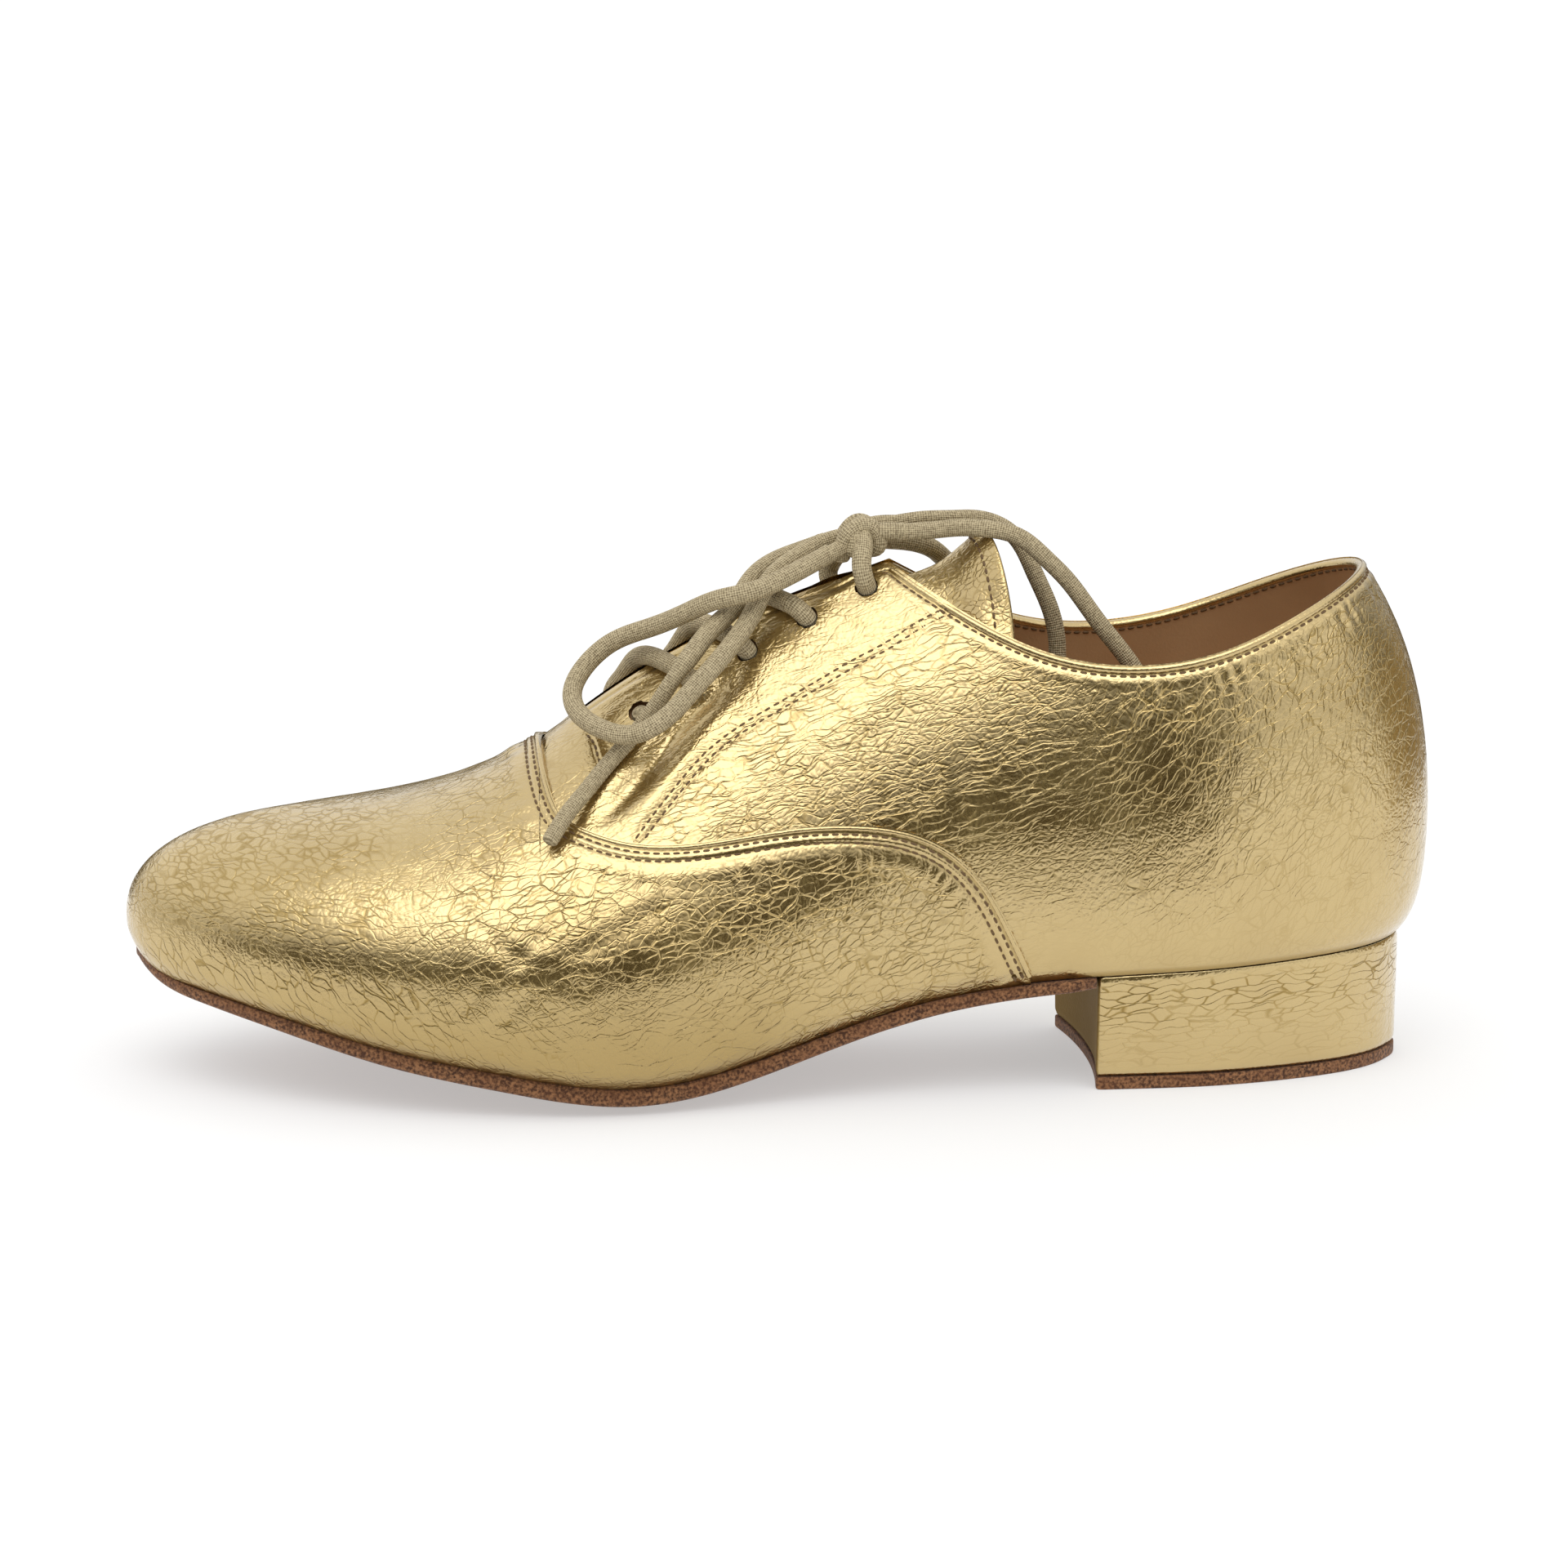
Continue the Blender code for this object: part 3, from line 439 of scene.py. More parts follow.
def ridge_look(station, across):
    """A point of the last at a distance across from its ridge, lateral below zero."""
    side = LATERAL if across < 0 else MEDIAL
    return at_distances(rib_line(on_side(side, place_of_top(station)))[::-1], abs(across))


def feather(s):
    places = np.linspace(0, HALF_ROUND, LOOKUP_SAMPLES)[::-1]
    edges = []
    for side in (LATERAL, MEDIAL):
        rows = last_spline(on_side(side, places))
        edges += [np.interp(s, rows[:, 0], rows[:, 1]), np.interp(s, rows[:, 0], rows[:, 2])]
    return edges


def seat_height(s, y):
    lateral_y, lateral_z, medial_y, medial_z = feather(s)
    share = np.clip((y - lateral_y) / np.maximum(medial_y - lateral_y, 0.01), 0, 1)
    return lateral_z + (medial_z - lateral_z) * share - sole_camber(s) * 4 * share * (1 - share)


def grid_normals(grid):
    """Outward normals of a grid of points, rows being ribs; a place without one takes its neighbour's."""
    normals = np.cross(np.gradient(grid, axis=0), np.gradient(grid, axis=1))
    size = np.linalg.norm(normals, axis=-1, keepdims=True)
    normals = normals / np.maximum(size, 1e-9)
    bad = size[..., 0] < 1e-6
    normals[bad] = np.roll(normals, 1, axis=1)[bad]
    middle = grid.reshape(-1, 3).mean(axis=0) * [1, 0, 1]
    away = grid - np.stack([grid[..., 0], 0 * grid[..., 0], 0 * grid[..., 0] + middle[2] * 0.7], axis=-1)
    return normals * np.sign(np.sum(normals * away))


def grid_quads(rows, cols, wrap_rows=False, wrap_cols=False):
    index = np.arange(rows * cols).reshape(rows, cols)
    if wrap_rows:
        index = np.concatenate([index, index[:1]])
    if wrap_cols:
        index = np.concatenate([index, index[:, :1]], axis=1)
    corners = [index[:-1, :-1], index[1:, :-1], index[1:, 1:], index[:-1, 1:]]
    return np.stack(corners, axis=-1).reshape(-1, 4)


class Surface:
    """A smooth skin to set things on: nearest point and outward normal, all in (s, y, z)."""

    def __init__(self, grid, wrap=False):
        self.points = grid.reshape(-1, 3)
        self.normals = grid_normals(grid).reshape(-1, 3)
        quads = grid_quads(*grid.shape[:2], wrap_rows=wrap)
        self.tree = BVHTree.FromPolygons(self.points.tolist(), quads.tolist())
        self.near = nearest_tree(self.points)

    def at(self, point):
        place, _, _, _ = self.tree.find_nearest(Vector(point))
        found = self.near.find_n(place, 4)
        weight = np.array([1 / (d + 0.05) for _, _, d in found])
        normal = np.sum(self.normals[[i for _, i, _ in found]] * weight[:, None], axis=0)
        return np.array(place), unit(normal)

    def line(self, points):
        """A line drawn onto the skin, with its normals."""
        found = [self.at(p) for p in points]
        return tuple(np.array(part) for part in zip(*found))


class Course:
    """A line on a skin with its direction, its normal and the way across it."""

    def __init__(self, points, normals, inside):
        self.points = points
        self.normals = normals
        self.run = unit(np.gradient(points, axis=0))
        across = unit(np.cross(normals, self.run))
        self.across = across * np.sign(np.sum(across * (np.asarray(inside) - points)))
        self.length = along(points)
        self.near = nearest_tree(points)

    def offset(self, skin, distance, lift=0.0):
        """The line again at a distance across the skin, with its normals."""
        places, normals = skin.line(self.points + self.across * distance)
        return places + normals * lift, normals

    def measure(self, points, reach):
        """Distance from the line, signed with across above zero, and place along it, within a reach."""
        away = np.full(len(points), reach)
        place = np.zeros(len(points))
        for k, point in enumerate(points):
            _, i, d = self.near.find(point)
            if d < reach:
                gap = point - self.points[i]
                sign = 1.0 if np.dot(gap, self.across[i]) >= 0 else -1.0
                flat = gap - self.run[i] * np.dot(gap, self.run[i])
                ends = i in (0, len(self.points) - 1)
                away[k] = sign * (d if ends else min(d, np.linalg.norm(flat) + 1e-6))
                place[k] = self.length[i]
        return away, place


def scatter(cells, seed):
    """Three numbers from 0 to 1 for each whole-numbered cell."""
    a = cells.astype(np.int64)
    mixed = a[:, 0] * 73856093 ^ a[:, 1] * 19349663 ^ a[:, 2] * 83492791 ^ (seed * 2654435761)
    out = []
    for k in range(3):
        mixed = (mixed * 1103515245 + 12345 + k * 7919) & 0x7FFFFFFF
        mixed = mixed ^ (mixed >> 13)
        out.append((mixed % 100003) / 100003.0)
    return np.stack(out, axis=1)


def wavy(points, size, seed):
    """A smooth irregular shift of points, about one unit either way."""
    out = np.zeros_like(points)
    for k, (turn, share) in enumerate(((1.0, 0.5), (2.3, 0.3), (4.1, 0.2))):
        for axis in range(3):
            a = points[:, (axis + 1) % 3] / size * turn
            b = points[:, (axis + 2) % 3] / size * turn * 1.17
            c = points[:, axis] / size * turn * 0.83
            bend = 1.3 * np.sin(b + seed + k) + 0.9 * np.sin(c + 2.1 * axis)
            out[:, axis] += share * np.sin(a + bend + seed * axis)
    return out


def crackle(points, size, seed, stretch=(1, 1, 1), turn=0.0, warp=0.35):
    """How far each point is from the edge of its cell in an irregular net, in millimetres."""
    cos, sin = math.cos(math.radians(turn)), math.sin(math.radians(turn))
    s, y, z = points.T
    bent = np.stack([s * cos - z * sin, y, s * sin + z * cos], axis=1)
    bent = bent + warp * size * wavy(bent, size * 1.6, seed)
    grid = bent / (size * np.asarray(stretch, float))
    base = np.floor(grid)
    first = np.full(len(points), 9.0)
    second = np.full(len(points), 9.0)
    for step in product((-1, 0, 1), repeat=3):
        cell = base + step
        gap = np.linalg.norm(cell + scatter(cell, seed) - grid, axis=1)
        second = np.minimum(second, np.maximum(first, gap))
        first = np.minimum(first, gap)
    return (second - first) * size / 2


def new_piece(name, vertices, faces, finish):
    """A smooth mesh piece from points in (s, y, z) and faces."""
    mesh = bpy.data.meshes.new(name)
    mesh.from_pydata(to_world(*np.asarray(vertices).T).tolist(), [], np.asarray(faces).tolist())
    mesh.materials.append(finish)
    piece = bpy.data.objects.new(name, mesh)
    bpy.context.scene.collection.objects.link(piece)
    mesh.shade_smooth()
    return piece


def grid_piece(name, grid, finish, **wraps):
    """A mesh piece from a grid of points in (s, y, z)."""
    return new_piece(name, grid.reshape(-1, 3), grid_quads(*grid.shape[:2], **wraps), finish)


def give(piece, name, values):
    """Stores a number for each vertex under a name that the materials read."""
    layer = piece.data.attributes.new(name, "FLOAT", "POINT")
    layer.data.foreach_set("value", np.asarray(values, dtype=np.float32))


def weld(piece, outward=None, near=0.004):
    """Joins doubled vertices and turns the faces out, or from (1) or to (-1) the shoe's middle."""
    made = bmesh.new()
    made.from_mesh(piece.data)
    bmesh.ops.remove_doubles(made, verts=made.verts, dist=near * MM)
    bmesh.ops.dissolve_degenerate(made, edges=made.edges, dist=near * MM)
    if outward is None:
        bmesh.ops.recalc_face_normals(made, faces=made.faces)
    else:
        made.normal_update()
        middle = Vector((0, 0, 0.04))
        facing = sum(f.normal.dot(f.calc_center_median() - middle) * f.calc_area() for f in made.faces)
        if facing * outward < 0:
            bmesh.ops.reverse_faces(made, faces=made.faces)
    made.to_mesh(piece.data)
    made.free()
    piece.data.shade_smooth()


def join(parts):
    """Vertices and faces of several meshes as one."""
    vertices, faces, start = [], [], 0
    for points, quads in parts:
        vertices.append(points)
        faces.append(np.asarray(quads) + start)
        start += len(points)
    return np.concatenate(vertices), np.concatenate(faces)


def settle(piece, slot, *nodes):
    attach(piece, "root")
    if nodes:
        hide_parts(*nodes)
    return piece


# Materials


class Nodes:
    """A node tree with short ways to add to it."""

    def __init__(self, tree):
        self.tree = tree

    def add(self, kind, **settings):
        node = self.tree.nodes.new(kind)
        for key, value in settings.items():
            setattr(node, key, value)
        return node

    def link(self, source, target):
        self.tree.links.new(source, target)

    def feed(self, socket, value):
        if isinstance(value, bpy.types.NodeSocket):
            self.link(value, socket)
        else:
            socket.default_value = value

    def math(self, operation, *values):
        node = self.add("ShaderNodeMath", operation=operation)
        for socket, value in zip(node.inputs, values):
            self.feed(socket, value)
        return node.outputs[0]

    def spread(self, value, low, high, to_low, to_high, soft=False):
        node = self.add("ShaderNodeMapRange", interpolation_type="SMOOTHSTEP" if soft else "LINEAR")
        for socket, part in zip(node.inputs, (value, low, high, to_low, to_high)):
            self.feed(socket, part)
        return node.outputs[0]

    def mix(self, share, first, second):
        node = self.add("ShaderNodeMix", data_type="RGBA")
        for place, value in ((0, share), (6, first), (7, second)):
            self.feed(node.inputs[place], value)
        return node.outputs[2]

    def noise(self, where, scale, detail=3.0, output="Fac"):
        node = self.add("ShaderNodeTexNoise")
        self.link(where, node.inputs["Vector"])
        node.inputs["Scale"].default_value = scale
        node.inputs["Detail"].default_value = detail
        return node.outputs[output]

    def bump(self, height, strength, distance):
        node = self.add("ShaderNodeBump")
        node.inputs["Strength"].default_value = strength
        node.inputs["Distance"].default_value = distance
        self.link(height, node.inputs["Height"])
        return node.outputs["Normal"]

    def attribute(self, name):
        return self.add("ShaderNodeAttribute", attribute_name=name).outputs["Fac"]

    def place(self, kind="Object"):
        return self.add("ShaderNodeTexCoord").outputs[kind]

    def warped(self, where, scale, amount):
        """Coordinates shifted about by a noise."""
        shift = self.add("ShaderNodeVectorMath", operation="MULTIPLY_ADD")
        self.link(self.noise(where, scale, 2.0, "Color"), shift.inputs[0])
        shift.inputs[1].default_value = (amount, amount, amount)
        self.link(where, shift.inputs[2])
        return shift.outputs[0]


class Finish(Nodes):
    """A new material's nodes around its shader."""

    def __init__(self, name):
        self.material = bpy.data.materials.new(name)
        self.material.use_nodes = True
        super().__init__(self.material.node_tree)
        self.shader = self.tree.nodes["Principled BSDF"]

    def set(self, **values):
        """Feeds the shader's sockets, with their names' blanks as underscores."""
        for key, value in values.items():
            self.feed(self.shader.inputs[key.replace("_", " ")], value)


# A net of fine wrinkle lines: the zone it shows in, its cells' size and stretch, the turn of the long
# way, and the lines' half-width as a share of a cell, their depth in millimetres and their darkness.
Net = namedtuple("Net", "zone size stretch turn width depth dark")
QUARTER_NETS = (
    Net("front", 1.2, (3.4, 1.8, 1.0), 15, 0.110, 0.046, 0.32),
    Net("front", 2.6, (3.4, 1.8, 1.0), 20, 0.045, 0.062, 0.40),
    Net("rear", 1.4, (1.0, 1.2, 3.0), -28, 0.080, 0.050, 0.46),
    Net("rear", 2.8, (2.4, 1.4, 1.0), 36, 0.040, 0.070, 0.55),
)
VAMP_NETS = (
    Net("front", 1.4, (2.2, 1.4, 1.0), 26, 0.090, 0.050, 0.36),
    Net("front", 3.4, (2.0, 1.4, 1.0), 10, 0.035, 0.080, 0.48),
    Net("rear", 1.0, (3.4, 2.8, 1.0), -8, 0.150, 0.060, 0.45),
    Net("low", 1.7, (3.2, 2.0, 1.0), -50, 0.075, 0.065, 0.60),
)
HEEL_NETS = (Net("front", 1.4, (4.0, 4.0, 1.0), 6, 0.070, 0.060, 0.70),)
TRIM_NETS = (Net("front", 1.1, (1.8, 1.4, 1.0), 34, 0.140, 0.055, 0.40),)


def gold_leather(name, nets):
    """Crinkled metallic leather; each net of wrinkle lines shows in its own zone of the piece."""
    n = Finish(name)
    where = n.place()
    bent = n.warped(where, 150.0, 0.0036)
    patch = n.spread(n.noise(where, 170.0, 1.0), 0.36, 0.54, 0.50, 1.0)
    blotch = n.spread(n.noise(where, 60.0, 2.0), 0.3, 0.7, 0.0, 1.0)
    pebble = n.add("ShaderNodeTexVoronoi", feature="F1")
    n.link(bent, pebble.inputs["Vector"])
    pebble.inputs["Scale"].default_value = 1 / (0.80 * MM)
    height = n.math("MULTIPLY", pebble.outputs["Distance"], -0.055)
    # Painted shade: this attribute darkens the colour in seam grooves, along the feather edge, low on the
    # vamp, at the tongue's edge and on the heel's breast.
    dark = n.math("MULTIPLY", n.attribute("painted_shade"), 0.5)
    for net in nets:
        laid = n.add("ShaderNodeMapping", vector_type="TEXTURE")
        n.link(bent, laid.inputs["Vector"])
        laid.inputs["Rotation"].default_value = (0.0, math.radians(-net.turn), 0.0)
        laid.inputs["Scale"].default_value = [net.size * MM * part for part in net.stretch]
        cells = n.add("ShaderNodeTexVoronoi", feature="DISTANCE_TO_EDGE")
        n.link(laid.outputs[0], cells.inputs["Vector"])
        cells.inputs["Scale"].default_value = 1.0
        line = n.spread(cells.outputs["Distance"], 0.0, net.width, 1.0, 0.0)
        line = n.math("MULTIPLY", n.math("MULTIPLY", line, n.attribute(net.zone)), patch)
        height = n.math("MULTIPLY_ADD", line, -net.depth, height)
        dark = n.math("MAXIMUM", dark, n.math("MULTIPLY", line, net.dark))
    relief = n.bump(height, 1.0, MM)
    tone = n.mix(blotch, (0.55, 0.395, 0.145, 1), (0.60, 0.44, 0.17, 1))
    matt = n.math("MAXIMUM", n.math("MULTIPLY", dark, 0.2), n.spread(dark, 0.6, 0.85, 0.0, 0.65))
    n.set(
        Normal=relief,
        Coat_Normal=relief,
        Base_Color=n.mix(dark, tone, (0.20, 0.12, 0.03, 1)),
        Roughness=n.math("ADD", matt, n.spread(blotch, 0.0, 1.0, 0.21, 0.28)),
        Metallic=0.97,
        Coat_Weight=n.spread(dark, 0.0, 0.5, 0.9, 0.0),
        Coat_IOR=1.9,
        Coat_Roughness=0.15,
    )
    return n.material


def suede():
    n = Finish("brown_suede_look")
    where = n.place()
    speck = n.noise(where, 1700.0, 3.0)
    nap = n.mix(n.spread(speck, 0.38, 0.64, 0.0, 1.0), (0.055, 0.020, 0.007, 1), (0.34, 0.16, 0.068, 1))
    cloud = n.spread(n.noise(where, 120.0, 2.0), 0.35, 0.65, 0.0, 0.35)
    n.set(Base_Color=n.mix(cloud, nap, (0.17, 0.06, 0.02, 1)), Roughness=0.95, Sheen_Weight=0.15,
          Normal=n.bump(speck, 0.8, 0.0003))
    return n.material


def lining():
    n = Finish("tan_lining_look")
    where = n.place()
    cloud = n.spread(n.noise(where, 40.0), 0.3, 0.7, 0.0, 1.0)
    n.set(Base_Color=n.mix(cloud, (0.46, 0.25, 0.11, 1), (0.57, 0.34, 0.165, 1)), Roughness=0.6,
          Normal=n.bump(n.noise(where, 1500.0, 4.0), 0.3, 0.0002))
    return n.material


def lace_cord():
    """Round waxed weave: two families of slanting strands, from the lace's own lengthwise coordinates."""
    n = Finish("lace_cord_look")
    uv = n.add("ShaderNodeSeparateXYZ")
    n.link(n.place("UV"), uv.inputs[0])
    turns = 2 * math.pi * 1.1
    slants = [n.math("SINE", n.math("MULTIPLY", n.math(way, uv.outputs[0], uv.outputs[1]), turns))
              for way in ("ADD", "SUBTRACT")]
    speck = n.noise(n.place(), 1900.0, 2.0)
    body = n.math("MULTIPLY_ADD", n.math("MULTIPLY", *slants), 0.34, speck)
    tone = n.mix(n.spread(body, 0.15, 0.85, 0.0, 1.0), (0.20, 0.145, 0.07, 1), (0.72, 0.60, 0.37, 1))
    n.set(Base_Color=tone, Roughness=0.72, Normal=n.bump(body, 0.8, 0.0004))
    return n.material


def thread():
    n = Finish("brown_thread_look")
    twist = n.noise(n.place(), 3000.0, 2.0)
    n.set(Base_Color=n.mix(twist, (0.070, 0.036, 0.011, 1), (0.21, 0.12, 0.042, 1)), Roughness=0.6,
          Normal=n.bump(twist, 0.4, 0.0002))
    return n.material


GOLD_QUARTER = gold_leather("gold_quarter_look", QUARTER_NETS)
GOLD_VAMP = gold_leather("gold_vamp_look", VAMP_NETS)
GOLD_HEEL = gold_leather("gold_heel_look", HEEL_NETS)
GOLD_TRIM = gold_leather("gold_trim_look", TRIM_NETS)
SUEDE = suede()
LINING = lining()
CORD = lace_cord()
THREAD = thread()


# The last's skin, and the seams and edges on it


def last_grid(step_round, step_up):
    places = np.linspace(0, 2 * HALF_ROUND, round(2 * HALF_ROUND / step_round), endpoint=False)
    lines = [rib_line(p) for p in places]
    count = round(75 / step_up)
    return np.array([at_distances(line, np.linspace(0, along(line)[-1], count)) for line in lines])


LAST = Surface(last_grid(1.2, 1.2), wrap=True)


def edge_line(places, past, before=None):
    """Points where ribs meet an edge, in order round the shoe."""
    points = []
    for place in places:
        line = rib_line(place)
        if before:
            line, _ = cut_at(line, before)
        low, met = cut_at(line, past)
        if met:
            points.append(low[-1])
    return np.array(points)


def topline_course():
    first = place_of_top(SLIT_END_S - 0.05)
    points = edge_line(np.linspace(first, 2 * HALF_ROUND - first, 1500), above_topline)
    line = softened(evenly(softened(points, 2), 0.5), 12)
    return Course(*LAST.line(line), inside=np.array([[LENGTH / 2, 0.0, -200.0]]))


def vamp_course():
    first = place_of_foot(VAMP_END_S)
    ridge = place_of_top(THROAT_S + 0.3)
    bend = place_of_top(160)
    half = np.concatenate([np.linspace(ridge, bend, 500), np.linspace(bend, first, 500)[1:]])
    lateral = edge_line(half, above_vamp, above_topline)
    medial = edge_line([on_side(MEDIAL, p) for p in half], above_vamp, above_topline)
    points = np.concatenate([lateral[::-1], medial])
    line = softened(evenly(points, 0.5), 8)
    return Course(*LAST.line(line), inside=np.array([[230.0, 0.0, -60.0]]))


def mirrored(points):
    return np.asarray(points, float) * [1, -1, 1]


def seam_course(points, side, inside):
    line = smooth_route(points if side == LATERAL else mirrored(points), 0.5)
    return Course(*LAST.line(line), inside=np.array([inside]))


TOPLINE = topline_course()
VAMP_SEAM = vamp_course()
STAYS = [seam_course(EYESTAY, side, (140.0, 0.0, 130.0)) for side in (LATERAL, MEDIAL)]
TROUGHS = [seam_course(FACING_TROUGH, side, (140.0, 0.0, 130.0)) for side in (LATERAL, MEDIAL)]
TACK = seam_course(BAR_TACK, LATERAL, (140.0, 0.0, 130.0))
CREASES = [(painted_shade, seam_course(painted_shade.points, side, (180.0, 0.0, 130.0)))
           for painted_shade, side in product(BALL_CREASES, (LATERAL, MEDIAL))]


def eyelet_frame(side, number):
    """An eyelet's middle and outward direction, counted from 1 at the top."""
    s, from_edge = EYELETS[number - 1]
    station = s + (EYELET_SKEW if side == MEDIAL else 0.0)
    return LAST.at(ridge_look(station, side * (float(slit_half(s)) + from_edge)))


def wrinkles(points, nets, half_width=0.75):
    """Height of soft low ridges along the cell edges of irregular nets."""
    high = np.zeros(len(points))
    for size, seed, stretch, turn, amount in nets:
        high += amount * np.exp(-((crackle(points, size, seed, stretch, turn) / half_width) ** 2))
    return high


def facing_share(points, soft):
    """1 on the facings, between the eyestay seams and the slit, and 0 on the rest of the quarters."""
    share = np.zeros(len(points))
    for side, stay in zip((LATERAL, MEDIAL), STAYS):
        away, _ = stay.measure(points, STAY_REACH)
        own = (points[:, 1] * side >= 0) & (np.abs(away) < 0.99 * STAY_REACH)
        share = np.maximum(share, np.where(own, smooth_step(away, -soft, soft), 0.0))
    return share


def quarter_relief(points):
    """Height of the quarters' leather over the last, and how much painted shade each point gets in the
    seams' grooves.
    """
    top, place = TOPLINE.measure(points, TOPLINE_REACH)
    s, _, z = points.T
    high = -0.20 * hump(top, 1.75, 0.35) - 0.10 * hump(top, 2.2, 0.4) + 0.14 * hump(top, 3.6, 1.0)
    # Painted shade in the groove under the topline bead, in the eyestay stitch grooves and along the bar
    # tack.
    painted_shade = 0.5 * hump(top, 1.75, 0.3)
    rear = smooth_step(-s, -84.0, -66.0)
    ripple = np.sin(place * 2.1 + 1.4 * np.sin(place * 0.37)) * np.sin(place * 0.23 + 1.0)
    high += 0.16 * rear * ripple * hump(top, 5.0, 3.0)
    facing = facing_share(points, 0.35)
    for stay in STAYS:
        away, run = stay.measure(points, STAY_REACH)
        high += -0.16 * hump(np.abs(away), 0.68, 0.32) + 0.06 * hump(away, 0, 0.35)
        high += 0.12 * hump(np.abs(away), 2.4, 0.9)
        fade = smooth_step(run, 4.0, 18.0) * smooth_step(stay.length[-1] - run, 2.0, 14.0)
        high += 0.35 * fade * hump(away, -9.0, 4.5)
        painted_shade = np.maximum(painted_shade, 0.55 * hump(np.abs(away), 0.68, 0.28))
    high += 0.25 * facing
    for trough in TROUGHS:
        away, run = trough.measure(points, TROUGH_REACH)
        fade = smooth_step(run, 0.0, 10.0) * smooth_step(trough.length[-1] - run, 0.0, 14.0)
        high += fade * (-1.1 * hump(away, 0, 2.2) + 0.5 * hump(np.abs(away), 4.8, 2.2))
    away, _ = TACK.measure(points, TACK_REACH)
    high -= 0.25 * hump(away, 0, 0.45)
    painted_shade = np.maximum(painted_shade, 0.6 * hump(away, 0, 0.3))
    middle = hump(s, 112, 34) * (1 - 0.8 * facing)
    heel = smooth_step(-s, -88.0, -55.0)
    calm = smooth_step(np.abs(top), 3.0, 6.0) * (0.25 + 0.75 * smooth_step(z, 30.0, 50.0))
    high += calm * wrinkles(points, (
        (5.2, 3, (2.6, 1.6, 1.0), 14, 0.035 * middle),
        (3.4, 5, (2.8, 1.6, 1.0), 10, 0.035 * middle),
        (5.0, 7, (1.0, 1.3, 2.0), -28, 0.05 * heel),
        (3.6, 9, (1.6, 1.3, 1.0), 32, 0.03 * heel),
    ))
    return high, painted_shade


def vamp_relief(points):
    """Height of the vamp's leather over its own skin, and how much painted shade each point gets in the
    seams' grooves.
    """
    seam, place = VAMP_SEAM.measure(points, VAMP_REACH)
    s, _, z = points.T
    high = -0.18 * hump(seam, 1.3, 0.3) - 0.12 * hump(seam, 1.8, 0.35) + 0.10 * hump(seam, 2.55, 0.4)
    high += -0.18 * hump(seam, 3.3, 0.4) + 0.26 * hump(seam, 6.0, 1.8)
    # Painted shade in the groove under the vamp's folded edge and beside its outer stitch row.
    painted_shade = np.maximum(0.6 * hump(seam, 1.3, 0.25), 0.35 * hump(seam, 3.4, 0.3))
    ripple = np.sin(place * 1.9 + 1.7 * np.sin(place * 0.41)) * (0.6 + 0.4 * np.sin(place * 0.29))
    high += 0.14 * ripple * hump(seam, 6.6, 2.4)
    for shape, course in CREASES:
        away, _ = course.measure(points, CREASE_REACH)
        lip = hump(np.abs(away), shape.width * 1.3, shape.width * 0.7)
        high += shape.depth * (0.5 * lip - hump(away, 0, shape.width * 0.5))
    ball = hump(s, 176, 30)
    toe = smooth_step(s, 196.0, 222.0)
    upper_half = smooth_step(z, 26.0, 44.0)
    high += smooth_step(seam, 5.0, 9.0) * wrinkles(points, (
        (6.6, 11, (1.3, 1.2, 1.0), 15, 0.06 * ball),
        (4.0, 13, (1.3, 1.2, 1.0), 20, 0.04 * ball),
        (3.4, 17, (2.6, 2.2, 1.0), -8, 0.04 * toe * upper_half),
        (4.2, 19, (2.4, 1.6, 1.0), -50, 0.04 * (1 - upper_half)),
    ))
    return high, painted_shade


def rows_from_edge(length, edge_rows, rows, fine):
    """Distances from a rib's edge to its start: close together at the edge, then even."""
    near = min(fine, 0.5 * length)
    close = np.linspace(0, near, edge_rows, endpoint=False)
    return np.concatenate([close, np.linspace(near, length, rows - edge_rows)])


def side_places(first, last, step, dense=()):
    """Places along half the last at even steps, with closer ones between pairs of places."""
    places = set(np.round(np.linspace(first, last, round((last - first) / step)), 4))
    for low, high, fine in dense:
        places |= set(np.round(np.linspace(low, high, round((high - low) / fine)), 4))
    places = np.array(sorted(places))
    keep = np.concatenate([[True], np.diff(places) > 0.08])
    return places[keep]


def punch(points):
    """Opens round holes at the eyelets: moves points off each hole and says which lie inside one."""
    inside = np.zeros(len(points), bool)
    seed, reach, radius = 0.7, 6.0, EYELET_BORE / 2
    for side in (LATERAL, MEDIAL):
        for number in range(1, len(EYELETS) + 1):
            middle, axis = eyelet_frame(side, number)
            gap = points - middle
            flat = gap - np.outer(gap @ axis, axis)
            far = np.linalg.norm(flat, axis=1)
            near = (far < reach) & (np.linalg.norm(gap, axis=1) < 1.5 * reach)
            inside |= near & (far < seed)
            grown = radius + (far - seed) * (reach - radius) / (reach - seed)
            shift = np.where(near & (far >= seed), grown - far, 0.0)
            points = points + flat / np.maximum(far, 1e-6)[:, None] * shift[:, None]
    return points, inside


